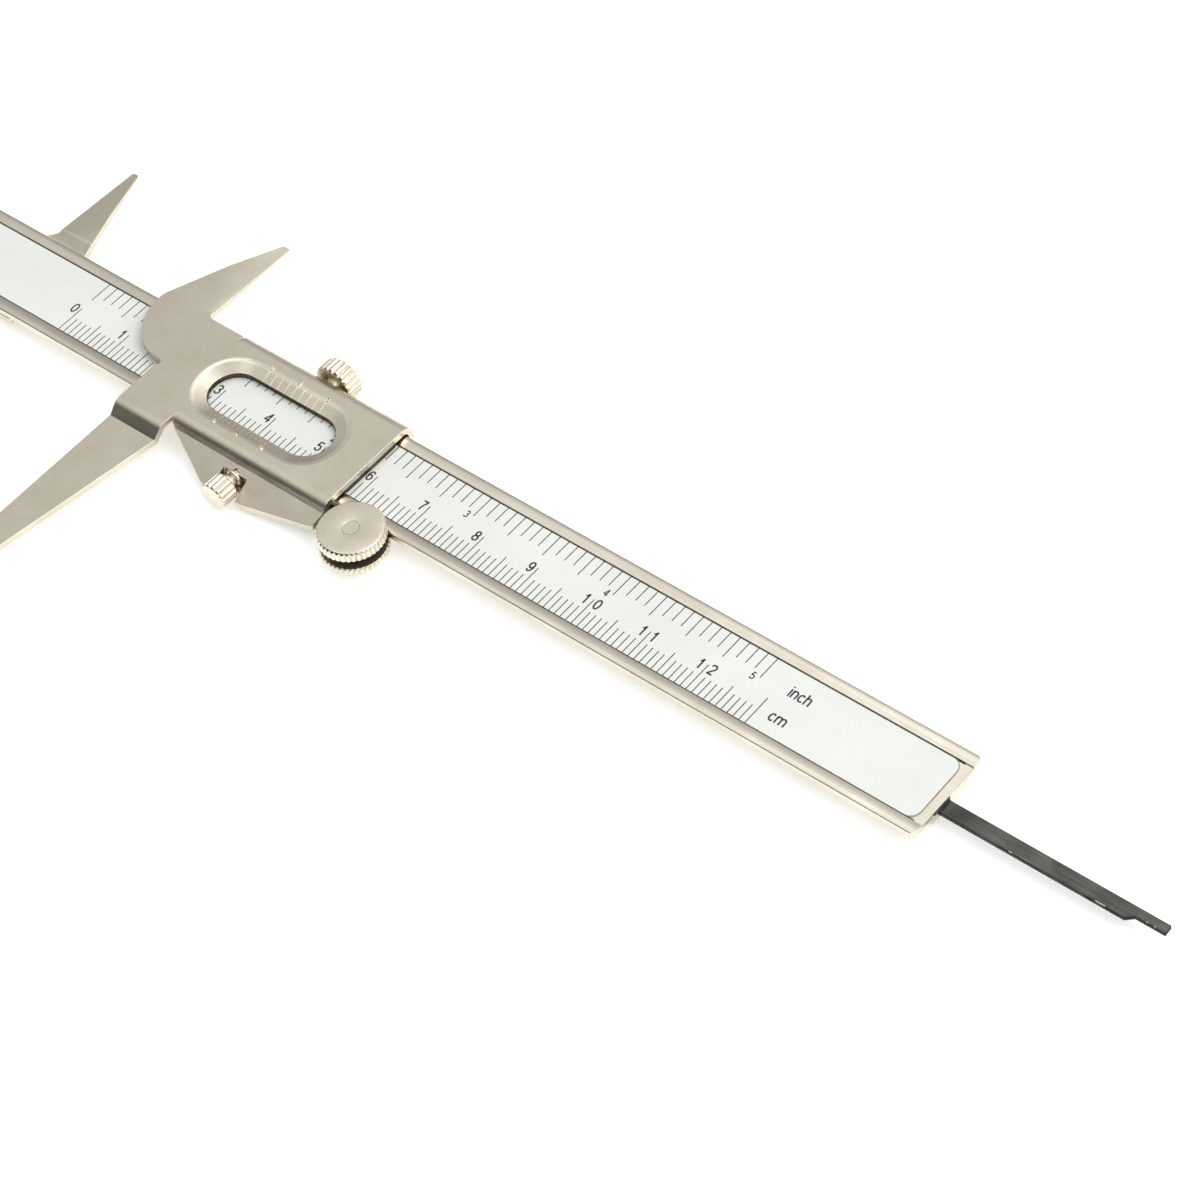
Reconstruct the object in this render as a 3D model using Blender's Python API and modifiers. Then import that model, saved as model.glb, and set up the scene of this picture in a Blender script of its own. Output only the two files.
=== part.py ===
"""Vernier caliper of pressed sheet steel, for outside, inside and depth measurement.

The frame: X = 0 is the fixed jaw's measuring face and +X runs along the beam, Y = 0 is the beam's
centre line, and Z = 0 is the back of the fixed head. The slider stands open by REST_OPENING.
"""
import bpy
import bmesh
from math import atan2, ceil, cos, pi, radians, sin, sqrt, tan
from mathutils import Matrix, Vector

MM = 0.001

# How far the slider stands open
REST_OPENING = 34.0 * MM

# Beam: a strip with a rail on each edge, a recess between them and a spine on its back
BEAM_LENGTH = 174.1 * MM
BEAM_WIDTH = 15.24 * MM
HEAD_OVERHANG = 11.9 * MM
EDGE_THICKNESS = 1.45 * MM
RAIL_WIDTH = 1.95 * MM
RAIL_CROWN = 0.30 * MM
RAIL_ROUND = 1.6 * MM
RECESS_DEPTH = 0.55 * MM
SPINE_ROOT_WIDTH = 8.6 * MM
SPINE_BACK_WIDTH = 7.0 * MM
BEAM_CORNER = 0.8 * MM
EDGE_ROUNDING = 0.25 * MM

# Scale label in the recess
LABEL_THICKNESS = 0.12 * MM
LABEL_SIDE_GAP = 0.05 * MM
LABEL_END_MARGIN = 1.35 * MM
LABEL_CORNER = 1.7 * MM

# Depth rod and the slot in the spine that guides it
ROD_WIDTH = 2.4 * MM
ROD_THICKNESS = 0.70 * MM
ROD_OFFSET = -0.85 * MM
ROD_START = 11.1 * MM
ROD_SIDE_PLAY = 0.10 * MM
ROD_LIFT = 0.05 * MM
ROD_TIP_LENGTH = 6.5 * MM
ROD_TIP_WIDTH = 1.45 * MM
ROD_TIP_SLANT = 1.0 * MM
SLOT_MOUTH = 1.5 * MM
SLOT_LIP = 0.37 * MM
SLOT_END_GAP = 1.6 * MM

# Sheet of the slider, its bends and its fits on the beam
SHEET = 1.0 * MM
BEND_RADIUS = 0.9 * MM
FAR_BEND_RADIUS = 1.5 * MM
NEAR_BEND_RADIUS = 1.5 * MM
FOOT_RADIUS = 0.6 * MM
JOGGLE_RADIUS = 1.4 * MM
SLIDER_RIDE = 0.34 * MM
LIP_PLAY = 0.17 * MM
BACK_PLAY = 0.10 * MM
SEAT_GAP = 0.03 * MM
GIB_SPACE = 0.35 * MM
LIP_END_GAP = 0.7 * MM

# Jaws: the outside pair below the beam and the inside pair above it
JAW_DEPTH = 40.0 * MM
JAW_ROOT_WIDTH = 9.1 * MM
JAW_TIP_WIDTH = 3.4 * MM
JAW_DROP = 1.83 * MM
JOGGLE_START = 3.95 * MM
JOGGLE_LENGTH = 1.83 * MM
INSIDE_JAW_REACH = 18.1 * MM
INSIDE_TIP_WIDTH = 1.3 * MM
LUG_RADIUS = 9.0 * MM
LUG_REACH = 9.2 * MM
LUG_DROP = 10.0 * MM
KNIFE_INSET = 1.4 * MM
KNIFE_START = 0.5 * MM
KNIFE_SPREAD = 21.0
KNIFE_LAND = 0.15 * MM
RELIEF_WIDTH = 0.35 * MM
RELIEF_HEIGHT = 1.1 * MM

# Roundings of the sheets' corners
TIP_ROUND = 0.3 * MM
TIP_BACK_ROUND = 0.5 * MM
INSIDE_TIP_ROUND = 0.2 * MM
INSIDE_BACK_ROUND = 0.4 * MM
RELIEF_ROUND = 0.3 * MM
LUG_SHOULDER_ROUND = 3.0 * MM
LUG_CORNER_ROUND = 0.1 * MM
JAW_CORNER_ROUND = 0.7 * MM
FIXED_ROOT_ROUND = 6.0 * MM
HEAD_NEAR_ROUND = 4.0 * MM
HEAD_FAR_ROUND = 2.5 * MM
HEAD_NECK_ROUND = 2.0 * MM
PLATE_ROUND = 0.5 * MM
NOTCH_ROUND = 0.3 * MM
FLAP_LEFT_ROUND = 2.0 * MM
FLAP_RIGHT_ROUND = 4.0 * MM
FLAP_END_ROUND = 0.8 * MM
FLAP_END_INSET = 0.6 * MM
BACK_ROUND = 1.0 * MM
TAB_ROUND = 0.8 * MM
ARM_NEAR_ROUND = 3.0 * MM
ARM_FAR_ROUND = 2.0 * MM
ROD_ROUND = 0.3 * MM
ROD_TIP_ROUND = 0.15 * MM

# Slider plate, along X from its own measuring face
SLIDER_LENGTH = 39.5 * MM
FAR_WALL_START = 7.3 * MM
FAR_WALL_RELIEF = 0.12 * MM
LIP_RELIEF = 0.6 * MM
NOTCH_PLACE = 9.4 * MM
NEAR_WALL_GAP = 1.65 * MM
NEAR_WALL_ANGLE = 56.0
NEAR_WALL_DROP = 1.34 * MM
FLAP_ANGLE = 28.0
FLAP_REACH = 4.7 * MM
FLAP_END_REACH = 2.5 * MM
FLAP_FLAT_START = 19.0 * MM
FLAP_FLAT_LENGTH = 7.0 * MM
SCREW_NOTCH_INSET = 1.45 * MM

# Window, a round-ended hole with a dished edge
WINDOW_START = 13.3 * MM
WINDOW_SPAN = 14.7 * MM
WINDOW_OFFSET = -0.8 * MM
WINDOW_RADIUS = 4.0 * MM
DISH_WIDTH = 2.1 * MM
DISH_DEPTH = 0.8 * MM

# Guide plate under the slider plate
GUIDE_SIDE_PLAY = 0.17 * MM
GUIDE_LIFT = 0.08 * MM
GUIDE_START = 9.6 * MM
GUIDE_WINDOW_MARGIN = 0.3 * MM

# Back plate under the beam
BACK_THICKNESS = 0.8 * MM
BACK_START = 8.6 * MM
BACK_END_INSET = 1.0 * MM
BACK_NEAR_INSET = 1.6 * MM
TAB_WIDTH = 9.0 * MM
EAR_RADIUS = 3.6 * MM
ARM_WIDTH = 6.0 * MM

# Thumb wheel: a spool whose waist rolls on the beam's edge
WHEEL_END_GAP = 1.2 * MM
WHEEL_RADIUS = 5.1 * MM
WAIST_RADIUS = 3.3 * MM
WHEEL_ROLL_GAP = 0.08 * MM
WHEEL_RUN_GAP = 0.03 * MM
WHEEL_TOP_DISC = 1.7 * MM
WHEEL_EDGE_PLAY = 0.06 * MM
WHEEL_CHAMFER = 0.38 * MM
AXLE_RADIUS = 0.95 * MM
AXLE_HEAD = 1.25 * MM
AXLE_FIT = 0.05 * MM

# Lock screws, both across the beam
UPPER_SCREW_PLACE = 23.4 * MM
UPPER_SCREW_LEVEL = 0.5 * MM
LOWER_SCREW_PLACE = 23.2 * MM
LOWER_SCREW_LEVEL = 0.2 * MM
SCREW_FIT = 0.05 * MM
SCREW_TIP_GAP = 0.04 * MM
UPPER_HEAD_RADIUS = 3.4 * MM
UPPER_HEAD_LENGTH = 2.7 * MM
UPPER_HEAD_GAP = 0.33 * MM
UPPER_SHANK_RADIUS = 1.4 * MM
LOWER_HEAD_RADIUS = 2.3 * MM
LOWER_HEAD_LENGTH = 3.0 * MM
LOWER_HEAD_STAND = 5.8 * MM
LOWER_SHANK_RADIUS = 0.8 * MM
HEAD_CHAMFER = 0.25 * MM

# Gib spring between the upper screw and the beam
GIB_THICKNESS = 0.25 * MM
GIB_LENGTH = 23.0 * MM
GIB_EDGE_GAP = 0.08 * MM

# Fixed jaw plate and its rivets
HEAD_SHEET = 1.05 * MM
HEAD_PLATE_END = 6.5 * MM
HEAD_END_GAP = 0.3 * MM
FIXED_JOGGLE_START = 1.0 * MM
FIXED_JOGGLE_LENGTH = 1.8 * MM
HEAD_RIVET_SPREAD = 12.0 * MM
HEAD_RIVET_GAUGE = 7.2 * MM
HEAD_RIVET_PLACE = -2.5 * MM

# Rivets: countersunk at both ends and flush
RIVET_RADIUS = 0.8 * MM
RIVET_HEAD = 1.3 * MM
RIVET_SINK = 0.4 * MM
RIVET_FIT = 0.04 * MM
RIVET_FLUSH = 0.02 * MM
LIP_RIVET_INSET = 1.1 * MM
LIP_RIVET_START = 12.0 * MM
LIP_RIVET_END_INSET = 4.1 * MM
LIP_RIVET_COUNT = 3
ROD_RIVET_RADIUS = 0.5 * MM
ROD_RIVET_HEAD = 0.8 * MM
ROD_RIVET_SINK = 0.25 * MM
ROD_RIVET_START = 3.9 * MM
ROD_RIVET_PITCH = 17.0 * MM

# Smoothness of arcs and turned pieces, and how far a cutter passes the face that it cuts
ARC_STEP = radians(10.0)
TURN_STEPS = 48
RIVET_STEPS = 20
OVERCUT = 1.0 * MM
SIDE_SHARE = 0.98
WELD = 1e-7
CUT_WELD = 1e-6

# Levels, worked out from the sizes above
EDGE_UNDER = LIP_PLAY + SHEET + SEAT_GAP - BACK_PLAY
RAIL_TOP = EDGE_UNDER + EDGE_THICKNESS
RECESS_FLOOR = RAIL_TOP - RECESS_DEPTH
LABEL_TOP = RECESS_FLOOR + SEAT_GAP + LABEL_THICKNESS
PLATE_BOTTOM = RAIL_TOP + SLIDER_RIDE
PLATE_TOP = PLATE_BOTTOM + SHEET
PLATE_MIDDLE = PLATE_TOP - SHEET / 2
JAW_MIDDLE = PLATE_MIDDLE - JAW_DROP
LIP_TOP = EDGE_UNDER - LIP_PLAY
LIP_MIDDLE = LIP_TOP - SHEET / 2
BACK_TOP = -BACK_PLAY
BACK_BOTTOM = BACK_TOP - BACK_THICKNESS
ROD_BOTTOM = SLOT_LIP + ROD_LIFT
ROD_TOP = ROD_BOTTOM + ROD_THICKNESS
UPPER_SCREW_HEIGHT = EDGE_UNDER + UPPER_SCREW_LEVEL
LOWER_SCREW_HEIGHT = EDGE_UNDER + LOWER_SCREW_LEVEL

# Places across the beam, worked out from the sizes above
EDGE = BEAM_WIDTH / 2
RECESS_EDGE = EDGE - RAIL_WIDTH
FAR_INNER = EDGE + GIB_SPACE
FAR_MIDDLE = FAR_INNER + SHEET / 2
FAR_OUTER = FAR_INNER + SHEET
FAR_BEND_START = FAR_MIDDLE - FAR_BEND_RADIUS
JAW_TIP = -EDGE - JAW_DEPTH
INSIDE_TIP = EDGE + INSIDE_JAW_REACH
JOGGLE_TOP = -EDGE - JOGGLE_START
JOGGLE_FOOT = JOGGLE_TOP - JOGGLE_LENGTH
NEAR_SLOPE = tan(radians(NEAR_WALL_ANGLE))
FLAP_SLOPE = tan(radians(FLAP_ANGLE))
NEAR_TOP = -EDGE - NEAR_WALL_GAP + SHEET / 2 * tan(radians(NEAR_WALL_ANGLE) / 2)
NEAR_FOOT = NEAR_TOP - NEAR_WALL_DROP / NEAR_SLOPE
NEAR_FOOT_LEVEL = PLATE_MIDDLE - NEAR_WALL_DROP
FLAP_TIP = NEAR_FOOT - FLAP_REACH
SCREW_NOTCH = NEAR_FOOT - SCREW_NOTCH_INSET
WHEEL_AXIS = -EDGE - WHEEL_ROLL_GAP - WAIST_RADIUS
WHEEL_PLACE = SLIDER_LENGTH + WHEEL_END_GAP + WHEEL_RADIUS
WHEEL_BOTTOM = BACK_TOP + WHEEL_RUN_GAP
GROOVE_BOTTOM = EDGE_UNDER - WHEEL_EDGE_PLAY
GROOVE_TOP = RAIL_TOP + WHEEL_EDGE_PLAY
WHEEL_TOP = GROOVE_TOP + WHEEL_TOP_DISC
LOWER_HEAD_FACE = -EDGE - LOWER_HEAD_STAND
UPPER_HEAD_FACE = FAR_OUTER + UPPER_HEAD_GAP

# Seam where the sheet of the jaws laps the body of the slider, left of the dish and clear of the bends
SEAM_LAP = 0.6 * MM
SEAM = WINDOW_START - WINDOW_RADIUS - DISH_WIDTH - SEAM_LAP / 2
SEAM_FAR = FAR_BEND_START - SEAM_LAP / 2
SEAM_NEAR = -EDGE

# Ways to turn an outline drawn in its own X and Y: flat on the beam, or standing across it
FLAT = Matrix.Identity(4)
ACROSS = Matrix(((0, 0, 1, 0), (1, 0, 0, 0), (0, 1, 0, 0), (0, 0, 0, 1)))
TOWARDS_FAR = Matrix.Rotation(-pi / 2, 4, "X")
TOWARDS_NEAR = Matrix.Rotation(pi / 2, 4, "X")


def clear_scene():
    """Remove what the scene holds."""
    for old in list(bpy.data.objects):
        bpy.data.objects.remove(old, do_unlink=True)


def new_collection(name):
    """A collection under the scene's own."""
    collection = bpy.data.collections.new(name)
    bpy.context.scene.collection.children.link(collection)
    return collection


def rounded(corners):
    """Closed outline through corners (x, y, radius); arcs on a side that is too short shrink alike."""
    spots = [Vector(corner[:2]) for corner in corners]
    count = len(spots)
    halves = []
    reaches = []
    for index, spot in enumerate(spots):
        half = (spots[index - 1] - spot).angle(spots[(index + 1) % count] - spot) / 2
        halves.append(half)
        reaches.append(corners[index][2] / tan(half))
    scales = []
    for index, spot in enumerate(spots):
        room = SIDE_SHARE * (spots[index - 1] - spot).length
        scales.append(min(1.0, room / max(reaches[index - 1] + reaches[index], WELD)))
    points = []
    for index, corner in enumerate(spots):
        half = halves[index]
        reach = reaches[index] * min(scales[index], scales[(index + 1) % count])
        if reach < WELD:
            points.append(corner)
            continue
        to_last = (spots[index - 1] - corner).normalized()
        to_next = (spots[(index + 1) % count] - corner).normalized()
        centre = corner + (to_last + to_next).normalized() * (reach / cos(half))
        first = corner + to_last * reach - centre
        turn = pi - 2 * half
        if to_last.cross(to_next) > 0:
            turn = -turn
        steps = max(1, ceil(abs(turn) / ARC_STEP))
        for step in range(steps + 1):
            points.append(centre + Matrix.Rotation(turn * step / steps, 2) @ first)
    return points


def bent_sheet(middle, thickness):
    """Outline of a bent sheet from the corners (x, y, bend radius) of its middle line, end to end."""
    line = []
    for index, (x, y, radius) in enumerate(middle):
        corner = Vector((x, y))
        if index in (0, len(middle) - 1):
            line.append(corner)
            continue
        to_last = (Vector(middle[index - 1][:2]) - corner).normalized()
        to_next = (Vector(middle[index + 1][:2]) - corner).normalized()
        half = to_last.angle(to_next) / 2
        bend = max(radius, 0.52 * thickness)
        reach = bend / tan(half)
        centre = corner + (to_last + to_next).normalized() * (bend / sin(half))
        first = corner + to_last * reach - centre
        turn = pi - 2 * half
        if to_last.cross(to_next) > 0:
            turn = -turn
        steps = max(2, ceil(abs(turn) / ARC_STEP))
        line += [centre + Matrix.Rotation(turn * step / steps, 2) @ first for step in range(steps + 1)]
    left = []
    right = []
    for index, point in enumerate(line):
        before = line[max(index - 1, 0)]
        after = line[min(index + 1, len(line) - 1)]
        into = (point - before).normalized() if index else (after - point).normalized()
        out = (after - point).normalized() if index < len(line) - 1 else into
        along = (into + out).normalized()
        side = Vector((-along.y, along.x)) * (thickness / 2 / cos(into.angle(out) / 2))
        left.append(point + side)
        right.append(point - side)
    return left + right[::-1]


def place(obj, collection, parent=None):
    """Put an object in its collection and under its parent."""
    collection.objects.link(obj)
    obj.parent = parent
    return obj


def prism(name, outline, low, high, turn=FLAT):
    """Solid of a flat outline between two levels, from a filled curve that is made a mesh."""
    curve = bpy.data.curves.new(name, "CURVE")
    curve.dimensions = "2D"
    curve.fill_mode = "BOTH"
    curve.extrude = (high - low) / 2
    spline = curve.splines.new("POLY")
    spline.points.add(len(outline) - 1)
    for point, (x, y) in zip(spline.points, outline):
        point.co = (x, y, 0, 1)
    spline.use_cyclic_u = True
    holder = bpy.data.objects.new(name + "_outline", curve)
    bpy.context.scene.collection.objects.link(holder)
    graph = bpy.context.evaluated_depsgraph_get()
    mesh = bpy.data.meshes.new_from_object(holder.evaluated_get(graph))
    bpy.data.objects.remove(holder, do_unlink=True)
    bpy.data.curves.remove(curve)
    mesh.transform(turn @ Matrix.Translation((0, 0, (low + high) / 2)))
    weld(mesh)
    mesh.name = name
    return bpy.data.objects.new(name, mesh)


def weld(mesh):
    """Join the loose caps of a mesh to its sides and point its faces out."""
    shape = bmesh.new()
    shape.from_mesh(mesh)
    bmesh.ops.remove_doubles(shape, verts=shape.verts, dist=WELD)
    bmesh.ops.recalc_face_normals(shape, faces=shape.faces)
    shape.to_mesh(mesh)
    shape.free()


def turned(name, profile, steps=TURN_STEPS, closed=False):
    """Turned solid about Z from a profile (radius, height) that runs down its outer side."""
    edges = [(index, index + 1) for index in range(len(profile) - 1)]
    if closed:
        edges.append((len(profile) - 1, 0))
    mesh = bpy.data.meshes.new(name)
    mesh.from_pydata([(radius, 0, height) for radius, height in profile], edges, [])
    obj = bpy.data.objects.new(name, mesh)
    screw = obj.modifiers.new("turn", "SCREW")
    screw.steps = steps
    screw.render_steps = steps
    screw.use_merge_vertices = True
    screw.merge_threshold = WELD
    screw.use_smooth_shade = False
    return obj


def stadium(start, span, middle, radius):
    """Round-ended outline along X."""
    low, high = start - radius, start + span + radius
    sides = ((low, -1), (high, -1), (high, 1), (low, 1))
    return rounded([(x, middle + side * radius, radius) for x, side in sides])


def dished_cutter(name, rings):
    """Loft through round-ended rings (height, radius) of the window, closed at both ends."""
    shape = bmesh.new()
    loops = []
    for height, radius in rings:
        outline = stadium(WINDOW_START, WINDOW_SPAN, WINDOW_OFFSET, radius)
        loops.append([shape.verts.new((x, y, height)) for x, y in outline])
    for lower, upper in zip(loops, loops[1:]):
        for index in range(len(lower)):
            shape.faces.new((lower[index - 1], lower[index], upper[index], upper[index - 1]))
    shape.faces.new(loops[0])
    shape.faces.new(loops[-1])
    bmesh.ops.recalc_face_normals(shape, faces=shape.faces)
    mesh = bpy.data.meshes.new(name)
    shape.to_mesh(mesh)
    shape.free()
    return bpy.data.objects.new(name, mesh)


def tool(obj, parent=None):
    """Keep an object as a hidden cutter or guide of other pieces."""
    place(obj, TOOLS, parent)
    obj.hide_render = True
    obj.display_type = "WIRE"
    return obj


def boolean(obj, other, operation):
    """Join another object to this one, cut it out, or keep what they share."""
    step = obj.modifiers.new(other.name, "BOOLEAN")
    step.operation = operation
    step.object = other
    step.solver = "EXACT"


def rivet_profile(bottom, top, radius, head, sink):
    """Profile of a rivet that is sunk at both ends."""
    return [(0, top), (head, top), (radius, top - sink), (radius, bottom + sink), (head, bottom), (0, bottom)]


def rivet_hole_profile(bottom, top, radius, head, sink):
    """Profile of a rivet's hole: wider by the fit, with its sinks carried on past both faces."""
    past = sink / 4
    bore = radius + RIVET_FIT
    rim = bore + (head - radius) * (sink + past) / sink
    return [(0, top + OVERCUT), (rim, top + OVERCUT), (rim, top + past), (bore, top - sink),
            (bore, bottom + sink), (rim, bottom - past), (rim, bottom - OVERCUT), (0, bottom - OVERCUT)]


def finish(obj, colour, roughness, metallic, parent=None):
    """Put a piece in the caliper's collection with its own material."""
    place(obj, PARTS, parent)
    material = bpy.data.materials.new(obj.name)
    material.use_nodes = True
    shader = material.node_tree.nodes["Principled BSDF"]
    shader.inputs["Base Color"].default_value = (*colour, 1.0)
    shader.inputs["Roughness"].default_value = roughness
    shader.inputs["Metallic"].default_value = metallic
    obj.data.materials.append(material)
    return obj


def rivet(name, spot, sizes, plates, parent=None):
    """Rivet at a spot (x, y), with its hole through every plate that it holds."""
    hole = turned(name + "_hole", rivet_hole_profile(*sizes), RIVET_STEPS)
    hole.location = (*spot, 0)
    tool(hole, parent)
    for plate in plates:
        boolean(plate, hole, "DIFFERENCE")
    bottom, top, *rest = sizes
    piece = turned(name, rivet_profile(bottom + RIVET_FLUSH, top - RIVET_FLUSH, *rest), RIVET_STEPS)
    piece.location = (*spot, 0)
    return finish(piece, STEEL, 0.35, 1.0, parent)


def make_beam():
    """Strip with its rails, recess and spine, cut for the head plate and the rod."""
    shoulder = RAIL_TOP - RAIL_CROWN
    rail_in = (RECESS_EDGE + 0.3 * RAIL_WIDTH, RAIL_TOP)
    rail_out = (EDGE - 0.3 * RAIL_WIDTH, RAIL_TOP)
    far_half = [
        (SPINE_BACK_WIDTH / 2, 0, EDGE_ROUNDING),
        (SPINE_ROOT_WIDTH / 2, EDGE_UNDER, EDGE_ROUNDING),
        (EDGE, EDGE_UNDER, EDGE_ROUNDING),
        (EDGE, shoulder, EDGE_ROUNDING),
        (*rail_out, RAIL_ROUND),
        (*rail_in, RAIL_ROUND),
        (RECESS_EDGE, (shoulder + RAIL_TOP) / 2, 0),
        (RECESS_EDGE, RECESS_FLOOR, 0),
    ]
    near_half = [(-y, z, radius) for y, z, radius in reversed(far_half)]
    strip = prism("beam_strip", rounded(far_half + near_half), -HEAD_OVERHANG - OVERCUT,
                  BEAM_LENGTH + OVERCUT, ACROSS)
    ends = [(-HEAD_OVERHANG, -1), (BEAM_LENGTH, -1), (BEAM_LENGTH, 1), (-HEAD_OVERHANG, 1)]
    outline = rounded([(x, side * EDGE, BEAM_CORNER) for x, side in ends])
    boolean(strip, tool(prism("beam_ends", outline, -OVERCUT, RAIL_TOP + OVERCUT)), "INTERSECT")
    seat_end = HEAD_PLATE_END + HEAD_END_GAP
    seat = [(-HEAD_OVERHANG - OVERCUT, -BEAM_WIDTH), (seat_end, -BEAM_WIDTH), (seat_end, BEAM_WIDTH),
            (-HEAD_OVERHANG - OVERCUT, BEAM_WIDTH)]
    boolean(strip, tool(prism("head_seat", seat, -OVERCUT, EDGE_UNDER)), "DIFFERENCE")
    slot_start = ROD_START - SLOT_END_GAP
    channel = (ROD_WIDTH / 2 + ROD_SIDE_PLAY, SLOT_LIP, ROD_TOP + ROD_LIFT)
    mouth = (SLOT_MOUTH / 2, -OVERCUT, ROD_BOTTOM)
    for name, (half, low, high) in (("rod_channel", channel), ("rod_mouth", mouth)):
        section = [(ROD_OFFSET - half, low), (ROD_OFFSET + half, low), (ROD_OFFSET + half, high),
                   (ROD_OFFSET - half, high)]
        cutter = prism(name, section, slot_start, BEAM_LENGTH + OVERCUT, ACROSS)
        boolean(strip, tool(cutter), "DIFFERENCE")
    return finish(strip, NICKEL, 0.3, 1.0)


def make_label():
    """Printed strip that lies in the recess."""
    edge = RECESS_EDGE - LABEL_SIDE_GAP
    left = -HEAD_OVERHANG + LABEL_END_MARGIN
    right = BEAM_LENGTH - LABEL_END_MARGIN
    corners = [(left, -edge), (right, -edge), (right, edge), (left, edge)]
    outline = rounded([(x, y, LABEL_CORNER) for x, y in corners])
    return finish(prism("scale_label", outline, LABEL_TOP - LABEL_THICKNESS, LABEL_TOP), WHITE, 0.5, 0.0)


def knife_bevel(name, side, level, thickness):
    """Tilted slab over an inside jaw; what it cuts leaves a bevel that thins to the jaw's edge at its tip."""
    spread = radians(KNIFE_SPREAD)
    start = FAR_INNER + KNIFE_START
    fall = KNIFE_INSET * cos(spread) + (INSIDE_TIP - start) * sin(spread)
    slope = atan2(thickness - KNIFE_LAND, fall)
    turn = Matrix.Translation((-side * KNIFE_INSET, start, level))
    turn = turn @ Matrix.Rotation(side * spread, 4, "Z") @ Matrix.Rotation(side * slope, 4, "Y")
    width = side * INSIDE_JAW_REACH
    length = 2 * INSIDE_JAW_REACH
    return prism(name, [(0, 0), (width, 0), (width, length), (0, length)], 0, INSIDE_JAW_REACH, turn)


def make_fixed_jaws():
    """Head plate under the strip, with its two jaws joggled up to the level of the slider's."""
    low = HEAD_SHEET / 2
    foot = EDGE + FIXED_JOGGLE_START
    crest = foot + FIXED_JOGGLE_LENGTH
    middle = [(INSIDE_TIP + OVERCUT, JAW_MIDDLE, 0), (crest, JAW_MIDDLE, BEND_RADIUS),
              (foot, low, BEND_RADIUS), (-foot, low, BEND_RADIUS),
              (-crest, JAW_MIDDLE, BEND_RADIUS), (JAW_TIP - OVERCUT, JAW_MIDDLE, 0)]
    plate = prism("fixed_jaw_plate", bent_sheet(middle, HEAD_SHEET), -HEAD_OVERHANG - OVERCUT,
                  HEAD_PLATE_END + OVERCUT, ACROSS)
    corners = [
        (0, JAW_TIP, TIP_ROUND),
        (0, -EDGE, JAW_CORNER_ROUND),
        (HEAD_PLATE_END, -EDGE, PLATE_ROUND),
        (HEAD_PLATE_END, crest, PLATE_ROUND),
        (INSIDE_TIP_WIDTH, INSIDE_TIP, INSIDE_BACK_ROUND),
        (0, INSIDE_TIP, INSIDE_TIP_ROUND),
        (0, crest - BEND_RADIUS, JAW_CORNER_ROUND),
        (-HEAD_OVERHANG / 4, EDGE, HEAD_NECK_ROUND),
        (-HEAD_OVERHANG, EDGE, HEAD_FAR_ROUND),
        (-HEAD_OVERHANG, -EDGE - JOGGLE_START / 2, HEAD_NEAR_ROUND),
        (-JAW_ROOT_WIDTH, JOGGLE_FOOT, FIXED_ROOT_ROUND),
        (-JAW_TIP_WIDTH, JAW_TIP, TIP_BACK_ROUND),
    ]
    outline = prism("head_outline", rounded(corners), -OVERCUT, PLATE_TOP)
    boolean(plate, tool(outline), "INTERSECT")
    bevel = knife_bevel("fixed_knife_bevel", -1, JAW_MIDDLE + HEAD_SHEET / 2, HEAD_SHEET)
    boolean(plate, tool(bevel), "DIFFERENCE")
    return finish(plate, NICKEL, 0.32, 1.0)


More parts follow.
